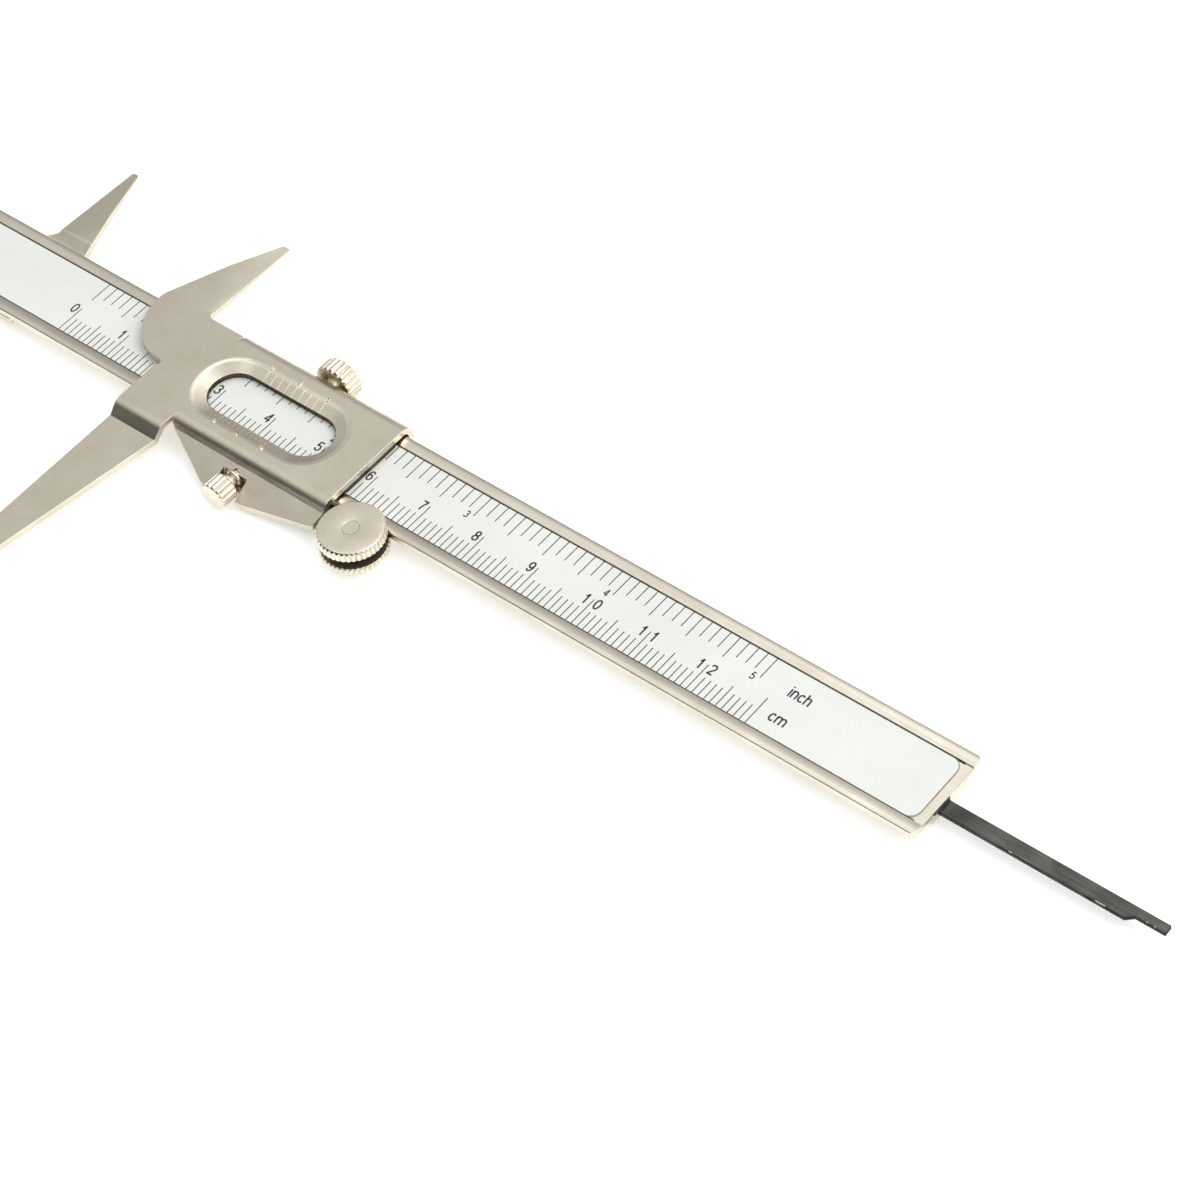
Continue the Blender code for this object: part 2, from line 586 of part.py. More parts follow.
def make_body():
    """Body of the slider: a bent sheet round the beam, with its dished window, screw holes and flap."""
    flap_far = FLAP_TIP - OVERCUT
    middle = [(SPINE_ROOT_WIDTH / 2 + LIP_END_GAP, LIP_MIDDLE, 0), (FAR_MIDDLE, LIP_MIDDLE, BEND_RADIUS),
              (FAR_MIDDLE, PLATE_MIDDLE, FAR_BEND_RADIUS), (NEAR_TOP, PLATE_MIDDLE, NEAR_BEND_RADIUS),
              (NEAR_FOOT, NEAR_FOOT_LEVEL, FOOT_RADIUS),
              (flap_far, NEAR_FOOT_LEVEL - (NEAR_FOOT - flap_far) * FLAP_SLOPE, 0)]
    body = prism("slider_body", bent_sheet(middle, SHEET), 0, SLIDER_LENGTH + OVERCUT, ACROSS)
    notch_half = LOWER_HEAD_RADIUS + SCREW_FIT
    corners = [
        (FAR_WALL_START, FAR_OUTER + OVERCUT, 0),
        (FAR_WALL_START, SEAM_FAR, 0),
        (SEAM - SEAM_LAP, SEAM_FAR, 0),
        (SEAM - SEAM_LAP, SEAM_NEAR, 0),
        (NOTCH_PLACE, SEAM_NEAR, 0),
        (NOTCH_PLACE, NEAR_FOOT, NOTCH_ROUND),
        (FLAP_FLAT_START, FLAP_TIP, FLAP_LEFT_ROUND),
        (LOWER_SCREW_PLACE - notch_half, FLAP_TIP, 0),
        (LOWER_SCREW_PLACE - notch_half, SCREW_NOTCH, NOTCH_ROUND),
        (LOWER_SCREW_PLACE + notch_half, SCREW_NOTCH, NOTCH_ROUND),
        (LOWER_SCREW_PLACE + notch_half, FLAP_TIP, 0),
        (FLAP_FLAT_START + FLAP_FLAT_LENGTH, FLAP_TIP, FLAP_RIGHT_ROUND),
        (SLIDER_LENGTH - FLAP_END_INSET, NEAR_FOOT - FLAP_END_REACH, FLAP_END_ROUND),
        (SLIDER_LENGTH, NEAR_FOOT, NOTCH_ROUND),
        (SLIDER_LENGTH, FAR_OUTER + OVERCUT, 0),
    ]
    plan = prism("body_outline", rounded(corners), -FLAP_REACH, PLATE_TOP + OVERCUT)
    boolean(body, tool(plan, CARRIAGE), "INTERSECT")
    lip_start = FAR_WALL_START + LIP_RELIEF
    far_clear = FAR_OUTER + OVERCUT
    lip_end = [(0, 0), (lip_start, 0), (lip_start, far_clear), (0, far_clear)]
    boolean(body, tool(prism("lip_end", lip_end, -FLAP_REACH, UPPER_SCREW_HEIGHT), CARRIAGE), "DIFFERENCE")

    flare = DISH_WIDTH / DISH_DEPTH
    dish = [(PLATE_BOTTOM - OVERCUT, WINDOW_RADIUS), (PLATE_TOP - DISH_DEPTH, WINDOW_RADIUS),
            (PLATE_TOP + OVERCUT, WINDOW_RADIUS + DISH_WIDTH + OVERCUT * flare)]
    boolean(body, tool(dished_cutter("window_dish", dish), CARRIAGE), "DIFFERENCE")

    far_hole = [(UPPER_SHANK_RADIUS, UPPER_SCREW_PLACE, UPPER_SCREW_HEIGHT), (FAR_OUTER + OVERCUT, EDGE)]
    near_hole = [(LOWER_SHANK_RADIUS, LOWER_SCREW_PLACE, LOWER_SCREW_HEIGHT), (-EDGE, SCREW_NOTCH - OVERCUT)]
    for name, (spot, ends) in (("far_screw_hole", far_hole), ("near_screw_hole", near_hole)):
        shank, along, height = spot
        bore = shank + SCREW_FIT
        hole = turned(name, [(0, ends[0]), (bore, ends[0]), (bore, ends[1]), (0, ends[1])])
        hole.matrix_local = Matrix.Translation((along, 0, height)) @ TOWARDS_FAR
        boolean(body, tool(hole, CARRIAGE), "DIFFERENCE")
    return tool(body, CARRIAGE)


def make_slider(body):
    """Pressed slider: the sheet of its two jaws and its lug, joined to its body."""
    middle = [(INSIDE_TIP + OVERCUT, PLATE_MIDDLE, 0), (JOGGLE_TOP, PLATE_MIDDLE, JOGGLE_RADIUS),
              (JOGGLE_FOOT, JAW_MIDDLE, FOOT_RADIUS), (JAW_TIP - OVERCUT, JAW_MIDDLE, 0)]
    slider = prism("slider_plate", bent_sheet(middle, SHEET), -LUG_REACH - OVERCUT, NOTCH_PLACE + OVERCUT,
                   ACROSS)
    lug_bottom = EDGE - LUG_DROP
    relief_root = (SEAM_FAR + FAR_BEND_START) / 2
    corners = [
        (0, JAW_TIP, TIP_ROUND),
        (JAW_TIP_WIDTH, JAW_TIP, TIP_BACK_ROUND),
        (JAW_ROOT_WIDTH, JOGGLE_FOOT, JAW_CORNER_ROUND),
        (NOTCH_PLACE, NEAR_FOOT, NOTCH_ROUND),
        (NOTCH_PLACE, SEAM_NEAR + SEAM_LAP, 0),
        (SEAM, SEAM_NEAR + SEAM_LAP, 0),
        (SEAM, SEAM_FAR - SEAM_LAP, 0),
        (FAR_WALL_START + SEAM_LAP / 2, SEAM_FAR - SEAM_LAP, 0),
        (FAR_WALL_START + SEAM_LAP / 2, relief_root, 0),
        (FAR_WALL_START - FAR_WALL_RELIEF, relief_root, 0),
        (FAR_WALL_START - FAR_WALL_RELIEF, FAR_INNER, 0),
        (0, FAR_INNER, JAW_CORNER_ROUND),
        (0, INSIDE_TIP, INSIDE_TIP_ROUND),
        (-INSIDE_TIP_WIDTH, INSIDE_TIP, INSIDE_BACK_ROUND),
        (-LUG_REACH, lug_bottom + LUG_RADIUS + RELIEF_HEIGHT, LUG_SHOULDER_ROUND),
        (-LUG_REACH, lug_bottom, LUG_RADIUS),
        (RELIEF_WIDTH, lug_bottom, LUG_CORNER_ROUND),
        (RELIEF_WIDTH, lug_bottom - RELIEF_HEIGHT, RELIEF_ROUND),
        (0, lug_bottom - RELIEF_HEIGHT, 0),
    ]
    plan = prism("jaw_outline", rounded(corners), -OVERCUT, PLATE_TOP + OVERCUT)
    boolean(slider, tool(plan, CARRIAGE), "INTERSECT")
    bevel = knife_bevel("slider_knife_bevel", 1, PLATE_TOP, SHEET)
    boolean(slider, tool(bevel, CARRIAGE), "DIFFERENCE")
    boolean(slider, body, "UNION")
    return finish(slider, NICKEL, 0.32, 1.0, CARRIAGE)


def make_guide():
    """Flat plate under the slider plate that keeps it straight between the rails."""
    edge = RECESS_EDGE - GUIDE_SIDE_PLAY
    corners = [(GUIDE_START, -edge), (SLIDER_LENGTH, -edge), (SLIDER_LENGTH, edge), (GUIDE_START, edge)]
    guide = prism("guide_plate", rounded([(x, y, PLATE_ROUND) for x, y in corners]), LABEL_TOP + GUIDE_LIFT,
                  PLATE_BOTTOM - SEAT_GAP)
    opening = stadium(WINDOW_START, WINDOW_SPAN, WINDOW_OFFSET, WINDOW_RADIUS + GUIDE_WINDOW_MARGIN)
    hole = prism("guide_window", opening, LABEL_TOP - OVERCUT, PLATE_TOP)
    boolean(guide, tool(hole, CARRIAGE), "DIFFERENCE")
    return finish(guide, STEEL, 0.4, 1.0, CARRIAGE)


def make_back_plate():
    """Plate under the beam, from the far lip to a tab at the flap, with an arm and an ear for the wheel."""
    near = -EDGE + BACK_NEAR_INSET
    right = SLIDER_LENGTH - BACK_END_INSET
    under_flap = NEAR_FOOT_LEVEL - SHEET / 2 / cos(radians(FLAP_ANGLE))
    tab = NEAR_FOOT - (under_flap - BACK_TOP - SEAT_GAP) / FLAP_SLOPE
    tab_left = LOWER_SCREW_PLACE - TAB_WIDTH / 2
    tab_right = LOWER_SCREW_PLACE + TAB_WIDTH / 2
    ear_low = WHEEL_AXIS - EAR_RADIUS
    ear_high = WHEEL_AXIS + EAR_RADIUS
    ear_right = WHEEL_PLACE + EAR_RADIUS
    corners = [
        (BACK_START, FAR_OUTER, BACK_ROUND),
        (BACK_START, near, BACK_ROUND),
        (tab_left, near, TAB_ROUND),
        (tab_left, tab, TAB_ROUND),
        (tab_right, tab, TAB_ROUND),
        (tab_right, near, TAB_ROUND),
        (right - ARM_WIDTH, near, ARM_NEAR_ROUND),
        (WHEEL_PLACE - EAR_RADIUS, ear_low, EAR_RADIUS),
        (ear_right, ear_low, EAR_RADIUS),
        (ear_right, ear_high, EAR_RADIUS),
        (right, near + ARM_WIDTH / 2, ARM_FAR_ROUND),
        (right, FAR_OUTER, BACK_ROUND),
    ]
    plate = prism("back_plate", rounded(corners), BACK_BOTTOM, BACK_TOP)
    return finish(plate, NICKEL, 0.35, 1.0, CARRIAGE)


def make_rod():
    """Flat depth rod with its tip cut narrower on the near side."""
    near = ROD_OFFSET - ROD_WIDTH / 2
    far = ROD_OFFSET + ROD_WIDTH / 2
    tip = BEAM_LENGTH
    step = tip - ROD_TIP_LENGTH
    corners = [(ROD_START, near, ROD_ROUND), (step - ROD_TIP_SLANT, near, 0), (step, far - ROD_TIP_WIDTH, 0),
               (tip, far - ROD_TIP_WIDTH, ROD_TIP_ROUND), (tip, far, ROD_TIP_ROUND),
               (ROD_START, far, ROD_ROUND)]
    rod = prism("depth_rod", rounded(corners), ROD_BOTTOM, ROD_TOP)
    return finish(rod, BLUED, 0.4, 1.0, CARRIAGE)


def make_wheel():
    """Spool on its axle: two discs with the beam's edge between them."""
    bore = AXLE_RADIUS + AXLE_FIT
    sink = AXLE_HEAD - AXLE_RADIUS
    shoulder = WHEEL_CHAMFER / 2
    profile = [
        (AXLE_HEAD + AXLE_FIT, WHEEL_TOP),
        (WHEEL_RADIUS - WHEEL_CHAMFER, WHEEL_TOP),
        (WHEEL_RADIUS, WHEEL_TOP - WHEEL_CHAMFER),
        (WHEEL_RADIUS, GROOVE_TOP + shoulder),
        (WHEEL_RADIUS - shoulder, GROOVE_TOP),
        (WAIST_RADIUS, GROOVE_TOP),
        (WAIST_RADIUS, GROOVE_BOTTOM),
        (WHEEL_RADIUS - shoulder, GROOVE_BOTTOM),
        (WHEEL_RADIUS, GROOVE_BOTTOM - shoulder),
        (WHEEL_RADIUS, WHEEL_BOTTOM + shoulder),
        (WHEEL_RADIUS - shoulder, WHEEL_BOTTOM),
        (bore, WHEEL_BOTTOM),
        (bore, WHEEL_TOP - sink),
    ]
    wheel = turned("thumb_wheel", profile, closed=True)
    wheel.location = (WHEEL_PLACE, WHEEL_AXIS, 0)
    return finish(wheel, NICKEL, 0.25, 1.0, CARRIAGE)


def make_screw(name, spot, turn, heights, radii):
    """Knurled-head screw at a spot (x, z); heights run along its axis from its tip to the end of its head."""
    tip, face, end = heights
    shank, head = radii
    profile = [
        (0, end),
        (head - HEAD_CHAMFER, end),
        (head, end - HEAD_CHAMFER),
        (head, face + HEAD_CHAMFER),
        (head - HEAD_CHAMFER, face),
        (shank, face),
        (shank, tip + HEAD_CHAMFER),
        (shank - HEAD_CHAMFER, tip),
        (0, tip),
    ]
    screw = turned(name, profile)
    along, height = spot
    screw.matrix_local = Matrix.Translation((along, 0, height)) @ turn
    return finish(screw, NICKEL, 0.3, 1.0, CARRIAGE)


def bend_room(radius, gap):
    """Height that the inside of a bend takes from its flat sheet at a gap from the bent wall's inner face."""
    inner = max(radius - SHEET / 2, gap)
    return inner - sqrt(inner ** 2 - (inner - gap) ** 2)


def make_gib():
    """Leaf of spring steel between the far wall and the beam's edge."""
    middle = EDGE + GIB_SPACE / 2
    low = UPPER_SCREW_PLACE - GIB_LENGTH / 2
    high = UPPER_SCREW_PLACE + GIB_LENGTH / 2
    near = middle - GIB_THICKNESS / 2
    far = middle + GIB_THICKNESS / 2
    outline = [(low, near), (high, near), (high, far), (low, far)]
    bottom = LIP_TOP + bend_room(BEND_RADIUS, FAR_INNER - far) + GIB_EDGE_GAP
    top = PLATE_BOTTOM - bend_room(FAR_BEND_RADIUS, FAR_INNER - far) - GIB_EDGE_GAP
    gib = prism("gib_spring", outline, bottom, top)
    return finish(gib, STEEL, 0.3, 1.0, CARRIAGE)


NICKEL = (0.56, 0.52, 0.45)
STEEL = (0.45, 0.43, 0.40)
BLUED = (0.08, 0.08, 0.075)
WHITE = (0.82, 0.84, 0.84)

clear_scene()
PARTS = new_collection("vernier_caliper")
TOOLS = new_collection("cutters")
CARRIAGE = place(bpy.data.objects.new("slider_carriage", None), PARTS)
CARRIAGE.location = (REST_OPENING, 0, 0)

beam = make_beam()
make_label()
head = make_fixed_jaws()
head_sizes = (0.0, RECESS_FLOOR, RIVET_RADIUS, RIVET_HEAD, RIVET_SINK)
for index in range(4):
    along, across = divmod(index, 2)
    spot = (HEAD_RIVET_PLACE + (along - 0.5) * HEAD_RIVET_SPREAD, (across - 0.5) * HEAD_RIVET_GAUGE)
    rivet(f"head_rivet_{index + 1}", spot, head_sizes, (beam, head))

body = make_body()
make_slider(body)
guide = make_guide()
back = make_back_plate()
lip_sizes = (BACK_BOTTOM, LIP_TOP, RIVET_RADIUS, RIVET_HEAD, RIVET_SINK)
lip_rivet_pitch = (SLIDER_LENGTH - LIP_RIVET_END_INSET - LIP_RIVET_START) / (LIP_RIVET_COUNT - 1)
for index in range(LIP_RIVET_COUNT):
    spot = (LIP_RIVET_START + index * lip_rivet_pitch, EDGE - LIP_RIVET_INSET)
    rivet(f"lip_rivet_{index + 1}", spot, lip_sizes, (body, back), CARRIAGE)

rod = make_rod()
rod_sizes = (BACK_BOTTOM, ROD_TOP, ROD_RIVET_RADIUS, ROD_RIVET_HEAD, ROD_RIVET_SINK)
for index in range(2):
    spot = (ROD_START + ROD_RIVET_START + index * ROD_RIVET_PITCH, ROD_OFFSET)
    rivet(f"rod_rivet_{index + 1}", spot, rod_sizes, (rod, back), CARRIAGE)

make_wheel()
axle_sizes = (BACK_BOTTOM, WHEEL_TOP, AXLE_RADIUS, AXLE_HEAD, AXLE_HEAD - AXLE_RADIUS)
rivet("wheel_axle", (WHEEL_PLACE, WHEEL_AXIS), axle_sizes, (back,), CARRIAGE)

make_gib()
gib_face = EDGE + (GIB_SPACE + GIB_THICKNESS) / 2
make_screw("upper_lock_screw", (UPPER_SCREW_PLACE, UPPER_SCREW_HEIGHT), TOWARDS_FAR,
           (gib_face + SCREW_TIP_GAP, UPPER_HEAD_FACE, UPPER_HEAD_FACE + UPPER_HEAD_LENGTH),
           (UPPER_SHANK_RADIUS, UPPER_HEAD_RADIUS))
make_screw("lower_lock_screw", (LOWER_SCREW_PLACE, LOWER_SCREW_HEIGHT), TOWARDS_NEAR,
           (EDGE + SCREW_TIP_GAP, -LOWER_HEAD_FACE, LOWER_HEAD_LENGTH - LOWER_HEAD_FACE),
           (LOWER_SHANK_RADIUS, LOWER_HEAD_RADIUS))

for piece in (beam, head, body, guide, back, rod):
    clean = piece.modifiers.new("clean", "WELD")
    clean.merge_threshold = CUT_WELD
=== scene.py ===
"""Looks of a small vernier caliper of pressed sheet steel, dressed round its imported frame."""
from math import cos, pi, radians, sin

import bmesh
import bpy
import numpy as np
from mathutils import Matrix, Vector


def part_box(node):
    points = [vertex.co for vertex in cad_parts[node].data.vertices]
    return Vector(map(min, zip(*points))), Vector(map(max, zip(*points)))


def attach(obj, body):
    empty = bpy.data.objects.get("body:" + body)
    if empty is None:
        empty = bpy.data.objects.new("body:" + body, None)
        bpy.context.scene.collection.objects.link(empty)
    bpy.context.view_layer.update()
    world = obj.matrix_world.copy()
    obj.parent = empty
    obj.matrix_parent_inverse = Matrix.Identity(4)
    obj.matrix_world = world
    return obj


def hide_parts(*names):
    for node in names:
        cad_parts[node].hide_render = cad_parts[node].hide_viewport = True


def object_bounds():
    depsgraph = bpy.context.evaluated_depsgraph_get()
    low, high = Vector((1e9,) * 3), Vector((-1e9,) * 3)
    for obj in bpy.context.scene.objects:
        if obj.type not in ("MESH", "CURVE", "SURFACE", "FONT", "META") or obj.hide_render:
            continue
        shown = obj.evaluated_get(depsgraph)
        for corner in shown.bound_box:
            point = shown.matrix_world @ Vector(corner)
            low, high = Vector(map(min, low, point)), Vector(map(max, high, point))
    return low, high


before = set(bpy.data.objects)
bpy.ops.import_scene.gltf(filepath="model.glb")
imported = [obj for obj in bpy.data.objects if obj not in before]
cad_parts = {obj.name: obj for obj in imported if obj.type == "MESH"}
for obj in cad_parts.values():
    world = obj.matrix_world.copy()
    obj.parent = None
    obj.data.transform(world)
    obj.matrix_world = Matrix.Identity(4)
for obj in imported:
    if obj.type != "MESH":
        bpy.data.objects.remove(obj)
cad_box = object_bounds()

# Beam: a roll-formed steel strip with a crowned rail on each edge and a shallow recess between them.
# It is nickel plated, and the rolls leave fine lines along it. The other pieces are fixed to it or run on it.
MM = 0.001


def linear(colour):
    """Linear RGBA of an sRGB hex value: v / 12.92 below 0.04045, and ((v + 0.055) / 1.055) ^ 2.4 above."""
    value = np.array([int(colour[at:at + 2], 16) for at in (0, 2, 4)]) / 255
    rgb = np.where(value <= 0.04045, value / 12.92, ((value + 0.055) / 1.055) ** 2.4)
    return (*rgb.tolist(), 1.0)


def add_node(tree, kind, inputs, **settings):
    """Add a node with its settings; each input gets a value, or a link where a socket is given."""
    node = tree.nodes.new(kind)
    for name, value in settings.items():
        setattr(node, name, value)
    for name, value in inputs.items():
        if isinstance(value, bpy.types.NodeSocket):
            tree.links.new(value, node.inputs[name])
        else:
            node.inputs[name].default_value = value
    return node


def new_material(name):
    """A new material, with its node tree and the object coordinates of the piece that wears it."""
    material = bpy.data.materials.new(name)
    material.use_nodes = True
    tree = material.node_tree
    spot = add_node(tree, "ShaderNodeTexCoord", {}).outputs["Object"]
    return material, tree, spot


# The usual span of the sum of two noises.
NOISE_SPAN = {"From Min": 0.7, "From Max": 1.3}


def work_surface(material, marks, clouds, bright, dull, roughness, relief, metallic=1.0):
    """Work a material's surface by the sum of its tool marks and slower clouds, which are two noise nodes.

    Over the usual span of that sum its colour goes from dull to bright, and its roughness from the second
    value to the first. The marks alone raise the surface, by up to the relief (m).
    """
    tree = material.node_tree
    shader = tree.nodes["Principled BSDF"]
    both = add_node(tree, "ShaderNodeMath", {0: marks.outputs[0], 1: clouds.outputs[0]}, operation="ADD")
    tone = add_node(tree, "ShaderNodeMapRange", {"Value": both.outputs[0], **NOISE_SPAN})
    # Inputs 6 and 7 of this node are its two colours.
    mixed = add_node(tree, "ShaderNodeMix", {0: tone.outputs[0], 6: linear(dull), 7: linear(bright)},
                     data_type="RGBA")
    rough = add_node(tree, "ShaderNodeMapRange", {"Value": both.outputs[0], **NOISE_SPAN,
                                                  "To Min": roughness[1], "To Max": roughness[0]})
    bump = add_node(tree, "ShaderNodeBump", {"Height": marks.outputs[0], "Strength": 1.0, "Distance": relief})
    tree.links.new(mixed.outputs[2], shader.inputs["Base Color"])
    tree.links.new(rough.outputs[0], shader.inputs["Roughness"])
    tree.links.new(bump.outputs[0], shader.inputs["Normal"])
    shader.inputs["Metallic"].default_value = metallic


def lined_finish(name, bright, dull, roughness, line, cloud, relief, metallic=1.0):
    """Finish whose lines are noise drawn out to a size along X, Y and Z (m), with clouds of one size (m)."""
    material, tree, spot = new_material(name)
    drawn = add_node(tree, "ShaderNodeMapping", {"Vector": spot, "Scale": [1 / size for size in line]})
    lines = add_node(tree, "ShaderNodeTexNoise", {"Vector": drawn.outputs[0], "Scale": 1.0, "Detail": 3.0})
    clouds = add_node(tree, "ShaderNodeTexNoise", {"Vector": spot, "Scale": 1 / cloud, "Detail": 4.0})
    work_surface(material, lines, clouds, bright, dull, roughness, relief, metallic)
    return material


def show(name, mesh, material, body, replaced=()):
    """Put a finished mesh in the scene at the origin, on its body, with its material and slot."""
    piece = bpy.data.objects.new(name, mesh)
    bpy.context.scene.collection.objects.link(piece)
    if not mesh.materials:
        mesh.materials.append(material)
    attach(piece, body)
    if replaced:
        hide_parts(*replaced)
    return piece


SHARP_EDGE, SLOPING_EDGE = radians(26), radians(14)
FLAT_ENOUGH = radians(0.4)
BROAD_FACE = 2 * MM * MM
SAME_POINT = 0.002 * MM


def dressed(node, name, material, body, rounding, soft=0.0, edge_wear_and_shade=None, crease=3.0, shortest=0.0,
            reshape=None):
    """A CAD node's shape with its triangles joined, its flat faces merged and its edges rounded.

    Sharp edges get the rounding if they are long enough, sloping ones get the soft width, and a shallower
    edge between two broad faces stays crisp if it is past the crease (degrees). The rounded edges take the
    edge_wear_and_shade material if one is given, which is rubbed wear on the nickel pieces and painted shade
    on the depth rod. The function reshape, if given, first moves all the points (n x 3).
    """
    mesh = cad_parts[node].data.copy()
    mesh.name = name
    mesh.materials.clear()
    if reshape:
        points = np.empty(len(mesh.vertices) * 3)
        mesh.vertices.foreach_get("co", points)
        mesh.vertices.foreach_set("co", reshape(points.reshape(-1, 3)).ravel())
    shape = bmesh.new()
    shape.from_mesh(mesh)
    bmesh.ops.remove_doubles(shape, verts=shape.verts, dist=SAME_POINT)
    bmesh.ops.dissolve_limit(shape, angle_limit=FLAT_ENOUGH, verts=shape.verts, edges=shape.edges)
    weight = shape.edges.layers.float.new("bevel_weight_edge")
    width = max(rounding, soft)
    for face in shape.faces:
        face.smooth = True
    for edge in shape.edges:
        if len(edge.link_faces) != 2:
            continue
        angle = edge.calc_face_angle()
        if angle > SHARP_EDGE and edge.calc_length() < shortest:
            edge.smooth = False
        elif angle > SHARP_EDGE:
            edge[weight] = rounding / width
        elif angle > SLOPING_EDGE:
            edge[weight] = soft / width
        elif angle > radians(crease) and min(face.calc_area() for face in edge.link_faces) > BROAD_FACE:
            edge.smooth = False
    shape.to_mesh(mesh)
    shape.free()
    mesh.materials.append(material)
    piece = show(name, mesh, material, body, (node,))
    bevel = piece.modifiers.new("rounding", "BEVEL")
    bevel.limit_method = "WEIGHT"
    bevel.width = width
    bevel.segments = 3
    bevel.use_clamp_overlap = False
    if edge_wear_and_shade:
        mesh.materials.append(edge_wear_and_shade)
        bevel.material = 1
    normals = piece.modifiers.new("even_shading", "WEIGHTED_NORMAL")
    normals.keep_sharp = True
    normals.weight = 100
    return piece


BEAM_ROUNDING = 0.06 * MM
# Edges shorter than the first stay unrounded, and the crown is smooth below the second, in degrees.
SHORT_END, CROWN_CREASE = 8 * MM, 13.0
RAIL_FOOT, RAIL_WIDTH = 5.67 * MM, 1.95 * MM
RAIL_CREST, RAIL_INNER, RAIL_OUTER = 2.52 * MM, 2.28 * MM, 2.27 * MM
RAIL_LOWEST = 2.05 * MM
CREST_SHARE = 0.66
EDGE_START, EDGE_LIFT = 7.5 * MM, 0.045 * MM
SLACK = 0.01 * MM


def crowned(points):
    """Rails with a long curve up from the recess and a short one down to the edge.

    With u the share of a rail's width, z is crest - (crest - inner) * (1 - u / crest share) ^ 2 inside the
    crest and crest - (crest - outer) * ((u - crest share) / (1 - crest share)) ^ 2 outside it. The rounded
    edge is lifted to meet that curve.
    """
    across, height = np.abs(points[:, 1]), points[:, 2]
    share = (across - RAIL_FOOT) / RAIL_WIDTH
    inside = RAIL_CREST - (RAIL_CREST - RAIL_INNER) * (1 - share / CREST_SHARE) ** 2
    outside = RAIL_CREST - (RAIL_CREST - RAIL_OUTER) * ((share - CREST_SHARE) / (1 - CREST_SHARE)) ** 2
    crown = np.where(share < CREST_SHARE, inside, outside)
    lifted = np.where(across < EDGE_START, crown, height + EDGE_LIFT)
    on_rail = (height > RAIL_LOWEST) & (across > RAIL_FOOT - SLACK)
    return np.column_stack([points[:, :2], np.where(on_rail, lifted, height)])


# Nickel plate over rolled steel: a soft warm shine with lines along the strip, drawn wide enough to show.
rolled_nickel = lined_finish("rolled_nickel_plate", "EBE4D6", "D0C8B7", (0.20, 0.30),
                             (25 * MM, 0.08 * MM, 0.08 * MM), 9 * MM, 0.0005 * MM)
dressed("beam_strip", "beam_strip_plated", rolled_nickel, "beam", BEAM_ROUNDING,
        crease=CROWN_CREASE, shortest=SHORT_END, reshape=crowned)

# Scale label: a white plastic film laid in the recess, with rounded corners.
# Its face is smooth and a little uneven, and it carries the printed scales.
FILM_GRAIN, FILM_CLOUD, FILM_RELIEF = 0.3 * MM, 12 * MM, 0.0006 * MM
SMOOTHEST_FILM, ROUGHEST_FILM = 0.42, 0.58


def coat(nodes, material):
    """Give a material to CAD nodes that keep their own shape."""
    for node in nodes:
        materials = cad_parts[node].data.materials
        materials.clear()
        materials.append(material)


# Printed film: white with a faint grain, and wide clouds that keep it from looking dead.
label_film, tree, spot = new_material("white_printed_film")
film = tree.nodes["Principled BSDF"]
grain = add_node(tree, "ShaderNodeTexNoise", {"Vector": spot, "Scale": 1 / FILM_GRAIN, "Detail": 2.0})
clouds = add_node(tree, "ShaderNodeTexNoise", {"Vector": spot, "Scale": 1 / FILM_CLOUD, "Detail": 3.0})
both = add_node(tree, "ShaderNodeMath", {0: grain.outputs[0], 1: clouds.outputs[0]}, operation="ADD")
tone = add_node(tree, "ShaderNodeMapRange", {"Value": both.outputs[0], **NOISE_SPAN})
white = add_node(tree, "ShaderNodeMix", {0: tone.outputs[0], 6: linear("E6E7E2"), 7: linear("EFF0EB")},
                 data_type="RGBA")
rough = add_node(tree, "ShaderNodeMapRange", {"Value": grain.outputs[0], "To Min": SMOOTHEST_FILM,
                                              "To Max": ROUGHEST_FILM})
bump = add_node(tree, "ShaderNodeBump", {"Height": grain.outputs[0], "Distance": FILM_RELIEF})
tree.links.new(white.outputs[2], film.inputs["Base Color"])
tree.links.new(rough.outputs[0], film.inputs["Roughness"])
tree.links.new(bump.outputs[0], film.inputs["Normal"])
coat(["scale_label"], label_film)

# Printed scales: millimetres on the near edge, numbered each centimetre, and sixteenths of an inch on the
# far edge. The ink is screen printed on the film and stands a hundredth of a millimetre above it.
INK_HEIGHT = 0.010 * MM
SCALE_ZERO = 15.1 * MM
INCH = 25.4 * MM
MILLIMETRES, SIXTEENTHS = 130, 80
TICK_WIDTH = 0.15 * MM
NEAR_PRINT, FAR_PRINT = -5.55 * MM, 5.55 * MM
CENTIMETRE_END, HALF_END, MILLIMETRE_END = -0.47 * MM, -1.5 * MM, -2.5 * MM
QUARTER_END, SIXTEENTH_END = 1.61 * MM, 2.58 * MM


def boxes(low, high):
    """Vertices and faces of upright boxes between rows of low and high corners (n x 3 arrays)."""
    pick = np.array([(0, 0, 0), (1, 0, 0), (1, 1, 0), (0, 1, 0), (0, 0, 1), (1, 0, 1), (1, 1, 1), (0, 1, 1)])
    corners = low[:, None, :] * (1 - pick) + high[:, None, :] * pick
    sides = np.array([(0, 3, 2, 1), (4, 5, 6, 7), (0, 1, 5, 4), (1, 2, 6, 5), (2, 3, 7, 6), (3, 0, 4, 7)])
    faces = sides[None] + 8 * np.arange(len(low))[:, None, None]
    return corners.reshape(-1, 3), faces.reshape(-1, 4)


def ticks(places, start, ends, low, high):
    """Boxes of ticks at places along X that run across it from a start to their ends, between two levels."""
    half = TICK_WIDTH / 2
    lower = np.broadcast_arrays(places - half, np.minimum(start, ends), low)
    upper = np.broadcast_arrays(places + half, np.maximum(start, ends), high)
    return boxes(np.stack(lower, axis=1), np.stack(upper, axis=1))


